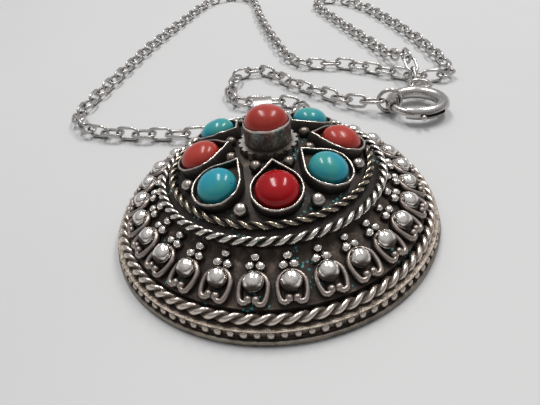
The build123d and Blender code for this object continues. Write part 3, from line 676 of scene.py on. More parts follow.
def make_rope_tree() -> bpy.types.NodeTree:
    """Geometry Nodes tree of a rope of two twisted wires bent into a ring round the Z axis.

    Returns:
        The tree.
    """
    number, whole = Socket.VALUE, Socket.WHOLE
    inputs = [("Radius", number, 0.01), ("Height", number, 0.0), ("Coil", number, 0.0003), ("Strand", number, 0.0003),
              ("Turns", number, 30.0), ("Steps", whole, 600), ("Sides", whole, 9), ("Wobble", number, 0.0),
              ("Pull", number, 0.0), ("Start", number, 0.0), ("Material", Socket.MATERIAL, None)]
    wiring, given, put = open_group("TwistedRope", "GeometryNodeTree", inputs, [("Geometry", Socket.GEOMETRY)])
    sway_scale, slack_scale, slack_level = 3.4, 7.0, 4.0
    black_inside, rubbed_outside = 1.2, 1.9
    share = wiring.math("DIVIDE", wiring.add("GeometryNodeInputIndex").outputs[0], given["Steps"])
    round_ring = wiring.math("MULTIPLY", share, TURN)
    bearing = wiring.math("ADD", given["Start"], round_ring)
    cosine, sine = wiring.math("COSINE", bearing), wiring.math("SINE", bearing)
    sway = wiring.swing(wiring.cloud(wiring.vector(cosine, sine, 0.0), sway_scale, 2.0), given["Wobble"])
    uneven = wiring.swing(wiring.cloud(wiring.vector(sine, cosine, slack_level), slack_scale, 2.0), given["Pull"])
    section = wiring.add("GeometryNodeCurvePrimitiveCircle", {"Resolution": given["Sides"], "Radius": given["Strand"]},
                         mode="RADIUS")
    ring = wiring.add("GeometryNodeCurvePrimitiveCircle", {"Resolution": given["Steps"], "Radius": 1.0}, mode="RADIUS")
    strands = wiring.add("GeometryNodeJoinGeometry")
    for phase in (0.0, math.pi):
        lay = wiring.math("ADD", wiring.math("MULTIPLY", round_ring, given["Turns"]),
                          wiring.math("ADD", uneven, phase))
        out = wiring.math("ADD", wiring.math("ADD", given["Radius"], sway),
                          wiring.math("MULTIPLY", given["Coil"], wiring.math("COSINE", lay)))
        rise = wiring.math("ADD", given["Height"], wiring.math("MULTIPLY", given["Coil"], wiring.math("SINE", lay)))
        place = wiring.vector(wiring.math("MULTIPLY", out, cosine), wiring.math("MULTIPLY", out, sine), rise)
        bent = wiring.add("GeometryNodeSetPosition", {"Geometry": ring.outputs[0], "Position": place})
        wire = wiring.add("GeometryNodeCurveToMesh", {"Curve": bent.outputs[0], "Profile Curve": section.outputs[0]})
        wiring.fill(strands, {0: wire.outputs[0]})
    spot = wiring.add("ShaderNodeSeparateXYZ", {0: wiring.add("GeometryNodeInputPosition").outputs[0]}).outputs

    def length(first: bpy.types.NodeSocket, second: bpy.types.NodeSocket) -> bpy.types.NodeSocket:
        """Length of the long side of a right triangle."""
        squares = [wiring.math("MULTIPLY", side, side) for side in (first, second)]
        return wiring.math("SQRT", wiring.math("ADD", *squares))

    far = length(wiring.math("SUBTRACT", length(spot[0], spot[1]), given["Radius"]),
                 wiring.math("SUBTRACT", spot[2], given["Height"]))
    wear = wiring.remap(far, wiring.math("MULTIPLY", given["Strand"], black_inside),
                        wiring.math("MULTIPLY", given["Strand"], rubbed_outside))
    rubbed = wiring.add("GeometryNodeStoreNamedAttribute", {
        "Geometry": strands.outputs[0], "Name": WEAR_AND_REFLECTION, "Value": wear}, data_type="FLOAT", domain="POINT")
    smooth = wiring.add("GeometryNodeSetShadeSmooth", {"Geometry": rubbed.outputs[0]})
    return close_tree(wiring, given, put, smooth)


def make_chain_tree() -> bpy.types.NodeTree:
    """Geometry Nodes tree that hangs a link on each point of a line, flat and upright by turns.

    Returns:
        The tree.
    """
    inputs = [("Geometry", Socket.GEOMETRY, None), ("Link", Socket.OBJECT, None), ("First", Socket.WHOLE, 0),
              ("Roll", Socket.VALUE, 0.2), ("Seed", Socket.WHOLE, 0), ("Material", Socket.MATERIAL, None)]
    wiring, given, put = open_group("LinkChain", "GeometryNodeTree", inputs, [("Geometry", Socket.GEOMETRY)])
    line = wiring.add("GeometryNodeMeshToCurve", {"Mesh": given["Geometry"]})
    level = wiring.add("GeometryNodeSetCurveNormal", {"Curve": line.outputs[0]}, mode="Z_UP")
    stations = wiring.add("GeometryNodeCurveToPoints", {"Curve": level.outputs[0]}, mode="EVALUATED")
    link = wiring.add("GeometryNodeObjectInfo", {"Object": given["Link"]})
    copies = wiring.add("GeometryNodeInstanceOnPoints", {
        "Points": stations.outputs["Points"], "Instance": link.outputs["Geometry"],
        "Rotation": stations.outputs["Rotation"]})
    count = wiring.math("ADD", wiring.add("GeometryNodeInputIndex").outputs[0], given["First"])
    quarter = wiring.math("MULTIPLY", wiring.math("MODULO", count, 2.0), math.pi / 2)
    loose = wiring.chance(wiring.math("MULTIPLY", given["Roll"], -1.0), given["Roll"], given["Seed"])
    roll = wiring.math("ADD", quarter, loose)
    turned = wiring.add("GeometryNodeRotateInstances", {
        "Instances": copies.outputs[0], "Rotation": wiring.vector(0.0, 0.0, roll), "Local Space": True})
    return close_tree(wiring, given, put, turned)


def hold(name: str, mesh: bpy.types.Mesh) -> bpy.types.Object:
    """Object of a pattern piece that a tree copies, kept out of the scene."""
    return bpy.data.objects.new(name, mesh)


def joined(name: str, meshes: Sequence[bpy.types.Mesh]) -> bpy.types.Mesh:
    """One mesh of several that share a material.

    Args:
        name: Name of the new mesh.
        meshes: The meshes to join.

    Returns:
        The joined mesh.
    """
    both = bmesh.new()
    for mesh in meshes:
        both.from_mesh(mesh)
    result = bpy.data.meshes.new(name)
    both.to_mesh(result)
    both.free()
    for material in meshes[0].materials:
        result.materials.append(material)
    return result


def finish_piece(name: str, mesh: bpy.types.Mesh, body: Body, node: str) -> None:
    """Puts a finished mesh in the scene in place of a node of the frame.

    Args:
        name: Name of the piece.
        mesh: Its mesh, in place.
        body: Body that it moves with.
        node: Node that it stands for.
    """
    piece = new_object(name, mesh)
    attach(piece, body.value)
    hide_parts(node)
    log.info("built %s: %d faces", name, len(mesh.polygons))


@dataclass
class CaseShape:
    """Sizes of the case that its ornaments sit on, in metres."""

    skirt_radius: float = 17.1 * MM
    flank_foot: float = 2.8 * MM
    flank_slope: float = math.radians(26.0)
    drum_radius: float = 11.85 * MM
    drum_height: float = 0.95 * MM
    crown_rise: float = 3.2 * MM

    def flank_height(self, radius: float) -> float:
        """Height of the flank at a radius."""
        return self.flank_foot + (self.skirt_radius - radius) * math.tan(self.flank_slope)

    def crown_sphere(self) -> float:
        """Radius of the crown's dome."""
        return (self.drum_radius ** 2 + self.crown_rise ** 2) / (2 * self.crown_rise)

    def crown_top(self) -> float:
        """Height of the top of the dome."""
        return self.flank_height(self.drum_radius) + self.drum_height + self.crown_rise

    def crown_centre(self) -> float:
        """Height of the middle of the dome's sphere."""
        return self.crown_top() - self.crown_sphere()

    def crown_height(self, radius: float) -> float:
        """Height of the dome at a radius."""
        return self.crown_centre() + math.sqrt(self.crown_sphere() ** 2 - radius ** 2)

    def crown_tilt(self, radius: float) -> float:
        """Slope of the dome at a radius."""
        return math.asin(radius / self.crown_sphere())


@dataclass
class FlankOrnaments:
    """Row of ornaments on the flank: wire loops, domes and grains.

    The first ornament stands so many pitches before the front. A facet is its direction and the share of the
    dome that it cuts away, and a bend of the loop is its radius in mm and its angle in degrees.
    """

    case: CaseShape
    finishes: Finishes
    ring: Scatter
    count: int = 28
    phase: float = -4.45
    before_front: float = 5.5
    dome_place: float = 15.0 * MM
    dome_radius: float = 1.02 * MM
    dome_height: float = 0.85 * MM
    dome_seat: float = 0.72 * MM
    stem_radius: float = 0.55 * MM
    facet_edge: float = 0.80
    facets: tuple[tuple[Point, float], ...] = (
        ((0.5, 0.2, 0.84), 0.033), ((-0.1, -0.62, 0.78), 0.0264), ((-0.55, 0.45, 0.70), 0.0231),
        ((0.15, 0.80, 0.58), 0.0198))
    pair_place: float = 13.64 * MM
    pair_spread: float = 0.98 * MM
    pair_radius: float = 0.482 * MM
    top_place: float = 12.78 * MM
    top_radius: float = 0.465 * MM
    wire_half_width: float = 0.285 * MM
    wire_half_height: float = 0.36 * MM
    ball_radius: float = 0.43 * MM
    loop_lift: float = 0.38 * MM
    loop_back: float = 0.85 * MM
    loop_bends: tuple[tuple[float, float], ...] = ((0.42, 150), (2.8, 30), (1.3, 160), (2.8, 30), (0.42, 150))

    def start(self) -> float:
        """Bearing of the first ornament."""
        return math.radians(-90 + self.phase - self.before_front * 360 / self.count)

    def row(self, name: str, piece: bpy.types.Mesh, radius: float, material: bpy.types.Material, seed: int,
            turn: float = 0.0, **loose: float) -> bpy.types.Mesh:
        """Row of one piece on the flank, one to each ornament.

        Args:
            name: Name of the row.
            piece: The piece, its foot at the origin, X down the slope and Z out of it.
            radius: Radius of the row.
            material: Material of the row.
            seed: Seed of its unevenness.
            turn: Bearing added to each ornament's own.
            loose: How far copies may differ, by the tree's input names.

        Returns:
            The mesh of the row.
        """
        values: dict[str, Any] = {
            "Piece": hold(name + "_pattern", piece), "Count": self.count, "Start": self.start() + turn,
            "Step": TURN / self.count, "Radius": radius, "Height": self.case.flank_height(radius),
            "Tilt": self.case.flank_slope, "Seed": seed, "Material": material}
        values.update({title.capitalize(): value for title, value in loose.items()})
        return self.ring.run(name, values)

    def dome(self) -> bpy.types.Mesh:
        """Hammered bead on a short stem, with a thin flattened lip round its lower edge.

        Returns:
            The mesh, its foot at the origin.
        """
        seat, wide, steps = self.dome_seat, self.dome_radius, 12
        under, lip_top, bead_foot = seat - 0.06 * MM, seat + 0.12 * MM, 0.14 * MM
        profile = [(0.0, SOLDER), (self.stem_radius, SOLDER), (self.stem_radius, under), (wide * 0.93, under),
                   (wide, seat - 0.02 * MM), (wide, seat + 0.05 * MM), (wide * 0.955, seat + 0.10 * MM),
                   (wide * 0.95, seat + 0.16 * MM)]
        for step in range(1, steps + 1):
            lift = math.radians(90 * step / steps)
            profile.append((wide * 0.965 * math.cos(lift) ** 0.97 if step < steps else 0.0,
                            seat + bead_foot + (self.dome_height - bead_foot) * math.sin(lift)))

        def hammered(point: Vector) -> Vector:
            """Flattens small facets into the bead."""
            if point.z < lip_top:
                return point
            rough_scale, rough = 4.0, 0.018
            middle = Vector((0, 0, seat))
            way = (point - middle).normalized()
            cut = 0.0
            for facet, depth in self.facets:
                facing = max(0.0, way.dot(Vector(facet).normalized()) - self.facet_edge)
                cut = max(cut, depth * facing / (1 - self.facet_edge))
            return point.lerp(middle, cut) + way * noise.noise(way * rough_scale) * rough * MM

        bead = lathe("flank_dome_pattern", profile, 28, hammered)
        # Painted reflection: the lower side of the bead, down the slope, is painted darker as a reflection of the dark
        # case below it, while the lip keeps nearly full value
        lip_wear, painted_reflection_loss = 0.95, 0.58
        store_wear_and_reflection(bead, [lip_wear if vertex.co.z < lip_top else
                          1.0 - painted_reflection_loss * eased(vertex.co.x / wide, 0.30, 0.75) for vertex in bead.vertices])
        return bead

    def loop_line(self) -> list[Vector]:
        """Line of one wire loop, X down the slope, from one curled end round to the other.

        Returns:
            The points of the line.
        """
        place, bearing = Vector((0.0, 0.0, 0.0)), 0.0
        points = [place.copy()]
        for radius, degrees in self.loop_bends:
            steps = max(4, round(degrees / 15))
            part = math.radians(degrees / steps)
            chord = 2 * radius * MM * math.sin(part / 2)
            for _ in range(steps):
                bearing += part / 2
                place = place + Vector((math.cos(bearing), math.sin(bearing), 0.0)) * chord
                bearing += part / 2
                points.append(place.copy())
        middle = points[len(points) // 2]
        axis = (points[0] + points[-1]) / 2 - middle
        spin = Matrix.Rotation(-math.atan2(axis.y, axis.x), 3, "Z")
        return [spin @ (point - middle) - Vector((self.loop_back, 0.0, 0.0)) for point in points]

    def loop(self) -> bpy.types.Mesh:
        """Horseshoe of flattened wire with a ball at each curled end.

        Returns:
            The mesh, its foot at the origin.
        """
        line, sides = self.loop_line(), 10
        points: list[Vector] = []
        for number, point in enumerate(line):
            ahead, behind = line[min(number + 1, len(line) - 1)], line[max(number - 1, 0)]
            side = Vector((0, 0, 1)).cross((ahead - behind).normalized())
            for corner in range(sides):
                angle = TURN * corner / sides
                points.append(point + side * self.wire_half_width * math.cos(angle)
                              + Vector((0, 0, self.loop_lift + self.wire_half_height * math.sin(angle))))
        pieces = [mesh_from("loop_wire", points, tube_faces(len(line), sides, False))]
        size, steps = self.ball_radius, 8
        turns = [math.pi * step / steps for step in range(steps + 1)]
        for end in (line[0], line[-1]):
            ball = lathe("loop_ball", [(size * math.sin(turn), -size * math.cos(turn)) for turn in turns], 12)
            ball.transform(Matrix.Translation(end + Vector((0, 0, size + 0.02 * MM))))
            pieces.append(ball)
        pattern = joined("loop_pattern", pieces)
        pattern.shade_smooth()
        return pattern

    def build(self) -> None:
        """Builds every row of the flank."""
        bright, wire = self.finishes.silver["rubbed_silver"], self.finishes.silver["loop_silver"]
        polished = self.finishes.silver["dome_silver"]
        loops = self.row("flank_loop_row", self.loop(), self.dome_place, wire, 11, lean=0.03, swell=0.03,
                         stray=0.05 * MM)
        finish_piece("flank_loop_row", loops, Body.FRONT, "flank_loops")
        domes = self.row("flank_dome_row", self.dome(), self.dome_place, polished, 23, spin=0.4, swell=0.035, lean=0.04,
                         stray=0.05 * MM)
        finish_piece("flank_dome_row", domes, Body.FRONT, "flank_domes")
        apart = self.pair_spread / 2 / self.pair_place
        pairs = [self.row(f"flank_pair_{side}", melted_grain("pair_pattern", self.pair_radius), self.pair_place, bright,
                          31 + side, side * apart, spin=math.pi, swell=0.07, stray=0.04 * MM) for side in (-1, 1)]
        finish_piece("flank_pair_row", joined("flank_pair_row", pairs), Body.FRONT, "flank_pair_grains")
        tops = self.row("flank_top_row", melted_grain("top_pattern", self.top_radius), self.top_place, bright, 41,
                        spin=math.pi, swell=0.07, stray=0.05 * MM)
        finish_piece("flank_top_row", tops, Body.FRONT, "flank_top_grains")


@dataclass(frozen=True)
class Rope:
    """One rope of two twisted wires.

    Strand is the radius of a wire, turns are negative for a lay of the other hand, and steps are the points along
    each wire. Wobble is how far the ring wanders, and pull how unevenly it is twisted, in radians.
    """

    node: str
    strand: float
    turns: int
    steps: int
    tone: str
    wobble: float = 0.04 * MM
    pull: float = 1.0


@dataclass
class WireRopes:
    """Three ropes of twisted wire round the box."""

    case: CaseShape
    finishes: Finishes
    tree: Scatter
    gap: float = 0.02 * MM
    plump: float = 1.12
    sides: int = 10
    rim_top: float = 1.61 * MM
    outer_level: float = 6.5506 * MM
    inner_place: float = 10.98 * MM
    lower: Rope = Rope("lower_rope", 0.27 * MM, 38, 760, "lower_rope_silver")
    outer: Rope = Rope("outer_rope", 0.24 * MM, 29, 620, "rope_silver")
    inner: Rope = Rope("inner_rope", 0.215 * MM, -25, 560, "inner_rope_silver", 0.05 * MM, 1.2)

    def reach(self, rope: Rope) -> float:
        """Distance of a rope's middle line from what it is soldered to."""
        return 2 * rope.strand + self.gap / 2 + SOLDER

    def lay(self, rope: Rope, radius: float, height: float) -> None:
        """Builds one rope in place of its node.

        Args:
            rope: The rope.
            radius: Radius of its ring.
            height: Height of the ring's middle.
        """
        name = rope.node + "_wire"
        mesh = self.tree.run(name, {
            "Radius": radius, "Height": height, "Coil": rope.strand + self.gap / 2, "Strand": rope.strand * self.plump,
            "Turns": rope.turns, "Steps": rope.steps, "Sides": self.sides, "Wobble": rope.wobble, "Pull": rope.pull,
            "Start": math.pi / 2, "Material": self.finishes.silver[rope.tone]})
        finish_piece(name, mesh, Body.FRONT, rope.node)

    def build(self) -> None:
        """Builds the three ropes."""
        out = self.reach(self.lower)
        self.lay(self.lower, self.case.skirt_radius + out, self.rim_top + out)
        self.lay(self.outer, self.case.drum_radius + self.reach(self.outer), self.outer_level)
        sphere = self.case.crown_sphere() + self.reach(self.inner)
        height = self.case.crown_centre() + math.sqrt(sphere ** 2 - self.inner_place ** 2)
        self.lay(self.inner, self.inner_place, height)


@dataclass
class Rim:
    """Foot of the box: base wire, channelled strip and bead row, and the back cover under them.

    Four of the 96 places in the row are left out at the bail, and half_gap is the first bead's place from its
    middle. Bead_corner makes a bead round at 2 and square when large.
    """

    finishes: Finishes
    ring: Scatter
    bead_place: float = 18.47 * MM
    bead_level: float = 1.11 * MM
    bead_radius: float = 0.37 * MM
    bead_rise: float = 0.33 * MM
    bead_corner: float = 3.6
    bead_count: int = 92
    bead_pitch: float = math.radians(360 / 96)
    half_gap: float = 2.5

    def build(self) -> None:
        """Builds the bead row and dresses the rest."""
        steps = 5
        profile = [(0.0, 0.0), (self.bead_radius, 0.0)]
        for step in range(1, steps + 1):
            lift = math.radians(90 * step / steps)
            profile.append((self.bead_radius * math.cos(lift) ** 0.7 if step < steps else 0.0,
                            self.bead_rise * math.sin(lift)))

        def squared(point: Vector) -> Vector:
            """Pushes the round bead out towards a square one with soft corners."""
            reach = math.hypot(point.x, point.y)
            if reach == 0:
                return point
            power = self.bead_corner
            spread = ((abs(point.x) / reach) ** power + (abs(point.y) / reach) ** power) ** (-1 / power)
            return Vector((point.x * spread, point.y * spread, point.z))

        bead = lathe("rim_bead_pattern", profile, 16, squared)
        beads = self.ring.run("rim_bead_row", {
            "Piece": hold("rim_bead_pattern", bead), "Count": self.bead_count,
            "Start": math.radians(90) + self.half_gap * self.bead_pitch, "Step": self.bead_pitch,
            "Radius": self.bead_place, "Height": self.bead_level, "Tilt": math.pi / 2, "Swell": 0.08, "Lean": 0.05,
            "Seed": 7, "Material": self.finishes.silver["rim_silver"]})
        finish_piece("rim_bead_row", beads, Body.FRONT, "rim_beads")
        for node in ("rim_ring", "rim_strip"):
            self.finishes.dress(node, self.finishes.silver["pitted_rim"])
        self.finishes.dress("back_cover", self.finishes.silver["back_silver"])


@dataclass(frozen=True)
class GrainRow:
    """One row of grains on the dome."""

    node: str
    place: float
    size: float
    seed: int
    tone: str


@dataclass
class Crown:
    """Dome of the box with its eight settings, its grains and the centre setting.

    Shifts are how far each setting stands outside its place, in mm.
    """

    case: CaseShape
    finishes: Finishes
    ring: Scatter
    settings: int = 8
    phase: float = 1.67
    place: float = 7.65 * MM
    shifts: tuple[float, ...] = (0.0, -0.15, 0.15, -0.15, 0.0, 0.15, -0.3, 0.3)
    bezel_radius: float = 2.65 * MM
    bezel_tip: float = 3.75 * MM
    bezel_wall: float = 0.24 * MM
    bezel_height: float = 1.3 * MM
    bed_height: float = 0.51 * MM
    girdle: float = 0.45 * MM
    rise: float = 1.35 * MM
    coral_radius: float = 2.2 * MM
    turquoise_radius: float = 2.06 * MM
    cup_radius: float = 2.55 * MM
    cup_high: float = 3.08 * MM
    cup_lip: float = 0.15 * MM
    centre_girdle: float = 1.7 * MM
    centre_rise: float = 1.6 * MM
    centre_lift: float = 1.41 * MM
    centre_room: float = 0.02 * MM
    rows: tuple[GrainRow, ...] = (GrainRow("crown_outer_grains", 9.5 * MM, 0.73 * MM, 51, "grain_silver"),
                                  GrainRow("crown_inner_grains", 4.4 * MM, 0.63 * MM, 61, "dark_grain_silver"))

    def seat(self, number: int) -> Matrix:
        """Frame of a setting on the dome, X down the slope and Z out of it.

        Args:
            number: The setting, counted from the front towards +X.

        Returns:
            The matrix of the frame.
        """
        radius = self.place + self.shifts[number] * MM
        bearing = math.radians(-90 + self.phase + 360 / self.settings * number)
        spot = Vector((radius * math.cos(bearing), radius * math.sin(bearing), self.case.crown_height(radius)))
        turn = Matrix.Rotation(bearing, 4, "Z") @ Matrix.Rotation(self.case.crown_tilt(radius), 4, "Y")
        return Matrix.Translation(spot) @ turn

    def outline(self, inset: float) -> list[Vector]:
        """Teardrop outline of a bezel moved inwards, its point at -X.

        Args:
            inset: Distance inwards.

        Returns:
            The points of the outline.
        """
        curved, straight = 72, 10
        radius = self.bezel_radius - inset
        half = math.asin(self.bezel_radius / self.bezel_tip)
        tip = self.bezel_tip - inset / math.sin(half)
        points = []
        for step in range(curved + 1):
            angle = -(math.pi / 2 + half) + step / curved * 2 * (math.pi / 2 + half)
            points.append(Vector((radius * math.cos(angle), radius * math.sin(angle), 0.0)))
        start, end, point = points[0], points[-1], Vector((-tip, 0.0, 0.0))
        points += [end.lerp(point, share / straight) for share in range(1, straight + 1)]
        points += [point.lerp(start, share / straight) for share in range(1, straight)]
        return points

    def bezel(self, number: int) -> None:
        """Builds one bezel, its wall hand-burnished and a little uneven.

        Args:
            number: The setting.
        """
        frame_matrix = self.seat(number)
        middle = frame_matrix.inverted() @ Vector((0, 0, self.case.crown_centre()))
        sphere = self.case.crown_sphere() + SOLDER
        high, wall = self.bezel_height, self.bezel_wall
        wave_scale, wave_size, dent_scale, dent_size, settle = 0.9, 0.11, 2.6, 0.05, 0.08
        # Inset, height and wear of each edge round the wall, where no height is the foot on the dome
        sections = [(0.0, None, 0.05), (0.0, high - 0.10 * MM, 0.52), (0.035 * MM, high - 0.03 * MM, 1.0),
                    (0.10 * MM, high, 1.0), (wall - 0.10 * MM, high, 1.0), (wall - 0.03 * MM, high - 0.04 * MM, 0.85),
                    (wall, high - 0.12 * MM, 0.4), (wall, None, 0.1)]
        rings: list[list[Vector]] = []
        for inset, height, _ in sections:
            ring = []
            for point in self.outline(inset):
                if height is None:
                    flat = (point.x - middle.x) ** 2 + (point.y - middle.y) ** 2
                    level = middle.z + math.sqrt(sphere ** 2 - flat)
                else:
                    wave = noise.noise(Vector((point.x, point.y, 3.7 * number * MM)) / MM * wave_scale)
                    dent = noise.noise(Vector((point.x, point.y, 9.1 * number * MM)) / MM * dent_scale)
                    level = height + (wave_size * wave + dent_size * dent) * MM - settle * MM
                ring.append(Vector((point.x, point.y, level)))
            rings.append(ring)
        count = len(rings[0])
        points = [frame_matrix @ ring[spot] for spot in range(count) for ring in rings]
        mesh = mesh_from(f"bezel_{number + 1}_wall", points, tube_faces(count, len(sections), True))
        mesh.set_sharp_from_angle(angle=SHARP)
        store_wear_and_reflection(mesh, [wear for _, _, wear in sections] * count)
        mesh.materials.append(self.finishes.silver["bezel_silver"])
        finish_piece(f"bezel_{number + 1}_wall", mesh, Body.FRONT, f"bezel_{number + 1}")

    def cabochon(self, name: str, radius: float, girdle: float, rise: float, seed: float) -> bpy.types.Mesh:
        """Round stone with an upright girdle and a hand-cut dome, its foot at the origin.

        Args:
            name: Name of the mesh.
            radius: Radius of the girdle.
            girdle: Height of the girdle.
            rise: Height of the dome above it.
            seed: Shifts the unevenness from stone to stone.

        Returns:
            The mesh.
        """
        steps = 22
        profile = [(0.0, 0.0), (radius * 0.6, 0.0), (radius * 0.97, 0.0), (radius, 0.05 * MM), (radius, girdle * 0.6)]
        for step in range(steps + 1):
            lift = math.pi / 2 * step / steps
            bulge = radius * math.cos(lift) ** 0.92 if step < steps else 0.0
            profile.append((bulge, girdle * 0.8 + (rise + girdle * 0.2) * math.sin(lift) ** 1.08))

        def cut(point: Vector) -> Vector:
            """Lets the dome lean and swell a little."""
            lean_scale, lean_size, edge_scale, edge_size, settle = 0.8, 0.07, 1.4, 0.012, 0.03
            share = min(1.0, max(0.0, point.z / (girdle + rise)))
            way = Vector((point.x, point.y, 0.0)) / radius
            lean = noise.noise(Vector((way.x * lean_scale, way.y * lean_scale, seed))) * lean_size * share
            edge = noise.noise(Vector((way.x * edge_scale, way.y * edge_scale, seed + 5.0))) * edge_size
            inside = 1 - abs(edge)
            return Vector((point.x * inside, point.y * inside, point.z * (1 + lean - settle * share)))

        return lathe(name, profile, 56, cut)

    def cup(self) -> bpy.types.Mesh:
        """Thin cup of the centre stone, its lip pressed over the stone and leaning a little.

        Returns:
            The mesh, in place.
        """
        wide, high, lip = self.cup_radius, self.cup_high, self.cup_lip
        inside, floor = wide - lip, high - 0.9 * MM
        profile = [(0.0, 0.0), (wide, 0.0), (wide, high * 0.35), (wide, high * 0.7), (wide, high - 0.30 * MM),
                   (wide, high - 0.12 * MM), (wide - 0.02 * MM, high - 0.02 * MM), (wide - lip * 0.6, high),
                   (inside, high - 0.03 * MM), (inside, floor), (0.0, floor)]

        def pressed(point: Vector) -> Vector:
            """Tips the lip to one side and lets it wander."""
            lean, wave_scale, wave_size, dent_scale, dent_size = 0.10, 1.9, 0.05, 5.0, 0.03
            share = max(0.0, point.z / high) ** 2
            way = Vector((point.x, point.y, 0.0)) / wide
            dent = noise.noise(way * dent_scale + Vector((3.0, 0.0, 0.0)))
            wander = wave_size * noise.noise(way * wave_scale) + dent_size * dent
            return point + Vector((0.0, 0.0, share * (lean * way.x - lean + wander) * MM))

        mesh = lathe("centre_cup_wall", profile, 72, pressed)
        lip_band, lip_wear, wall_wear = 0.2 * MM, 1.0, 0.60
        drops = [pressed(Vector((vertex.co.x, vertex.co.y, high))).z - vertex.co.z for vertex in mesh.vertices]
        store_wear_and_reflection(mesh, [lip_wear if drop < lip_band else wall_wear for drop in drops])
        mesh.set_sharp_from_angle(angle=SHARP)
        mesh.transform(Matrix.Translation((0, 0, self.case.crown_top() + SOLDER)))
        mesh.materials.append(self.finishes.silver["cup_silver"])
        return mesh

    def kind(self, number: int) -> Stone:
        """Kind of stone in a setting: the deep red one at the front, then turquoise and coral by turns."""
        if number == 0:
            return Stone.RED_CORAL
        return Stone.TURQUOISE if number % 2 else Stone.CORAL

    def set_stones(self) -> None:
        """Builds the bezels with their stones, and the stone in the centre."""
        for number in range(self.settings):
            self.bezel(number)
            kind = self.kind(number)
            radius = self.turquoise_radius if kind is Stone.TURQUOISE else self.coral_radius
            stone = self.cabochon(f"cabochon_{number + 1}", radius, self.girdle, self.rise, 1.7 * number)
            stone.transform(self.seat(number) @ Matrix.Translation((0, 0, self.bed_height)))
            stone.materials.append(self.finishes.stone[kind])
            finish_piece(f"cabochon_{number + 1}", stone, Body.FRONT, f"stone_{number + 1}")
        radius = self.cup_radius - self.cup_lip - self.centre_room
        centre = self.cabochon("cabochon_centre", radius, self.centre_girdle, self.centre_rise, 21.3)
        centre.transform(Matrix.Translation((0, 0, self.case.crown_top() + self.centre_lift)))
        centre.materials.append(self.finishes.stone[Stone.CORAL])
        finish_piece("cabochon_centre", centre, Body.FRONT, "centre_stone")

    def build(self) -> None:
        """Builds the settings, grains and centre, and dresses the dome."""
        self.set_stones()
        for row in self.rows:
            grain = melted_grain(row.node + "_pattern", row.size)
            mesh = self.ring.run(row.node + "_row", {
                "Piece": hold(row.node + "_pattern", grain), "Count": self.settings,
                "Start": math.radians(-90 + self.phase + 180 / self.settings), "Step": TURN / self.settings,
                "Radius": row.place, "Height": self.case.crown_height(row.place),
                "Tilt": self.case.crown_tilt(row.place), "Swell": 0.06, "Spin": math.pi, "Stray": 0.06 * MM,
                "Seed": row.seed, "Material": self.finishes.silver[row.tone]})
            finish_piece(row.node + "_row", mesh, Body.FRONT, row.node)
        finish_piece("centre_cup_wall", self.cup(), Body.FRONT, "centre_cup")
        for node, tone in (("centre_collar", "collar_silver"), ("setting_beds", "setting_lac"),
                           ("front_case", "brown_case"), ("crown_cap", "blackened_case")):
            self.finishes.dress(node, self.finishes.silver[tone])


# Height of the chain's middle line where it lies on the table, and the corners of its route, in mm
LIE = 1.26
ROUTE: tuple[Point, ...] = (
    (14.9, 25.4, 1.45), (12.4, 29.3, LIE), (9.3, 32.9, LIE), (6.4, 36.6, LIE), (4.4, 39.9, LIE),
    (2.5, 43.6, LIE), (-0.3, 46.0, LIE), (-3.7, 44.7, LIE), (-5.3, 40.4, LIE), (-5.7, 35.6, LIE),
    (-4.8, 31.6, LIE), (-1.9, 29.8, LIE), (2.2, 29.6, LIE), (5.6, 28.2, LIE), (7.0, 25.4, LIE),
    (5.4, 22.6, 1.5), (2.3, 21.75, 2.21), (-2.3, 21.75, 2.21), (-6.0, 21.0, 1.5),
    (-9.4, 20.6, LIE), (-13.5, 21.1, LIE), (-18.5, 22.2, LIE), (-24.6, 24.0, LIE), (-29.6, 26.3, LIE),
    (-32.9, 30.0, LIE), (-33.8, 34.8, LIE), (-32.6, 40.8, LIE), (-30.9, 48.3, LIE), (-28.9, 58.0, LIE),
    (-26.6, 69.4, LIE), (-23.3, 81.0, LIE), (-19.7, 92.4, LIE), (-16.2, 104.8, LIE), (-12.5, 113.4, LIE),
    (-6.4, 117.0, LIE), (-0.6, 113.6, LIE), (2.0, 104.4, LIE), (2.2, 91.8, LIE), (3.2, 79.0, LIE),
    (4.6, 66.6, LIE), (6.2, 55.8, LIE), (7.7, 48.8, LIE), (11.2, 45.4, LIE), (16.2, 44.6, LIE),
    (20.7, 41.2, LIE), (25.4, 36.4, LIE), (29.3, 33.2, LIE), (33.0, 32.2, LIE), (35.4, 34.6, LIE),
    (36.0, 39.4, LIE), (36.2, 47.6, LIE), (35.6, 58.6, LIE), (34.4, 71.0, LIE), (32.2, 84.0, LIE),
    (28.6, 93.2, LIE), (24.8, 97.8, LIE), (20.8, 97.6, LIE), (19.2, 93.4, LIE), (20.3, 85.6, LIE),
    (22.4, 73.6, LIE), (24.6, 61.4, LIE), (26.4, 50.8, LIE), (27.2, 43.6, 1.8), (27.6, 38.4, 3.95),
    (27.75, 34.4, 3.95),
)


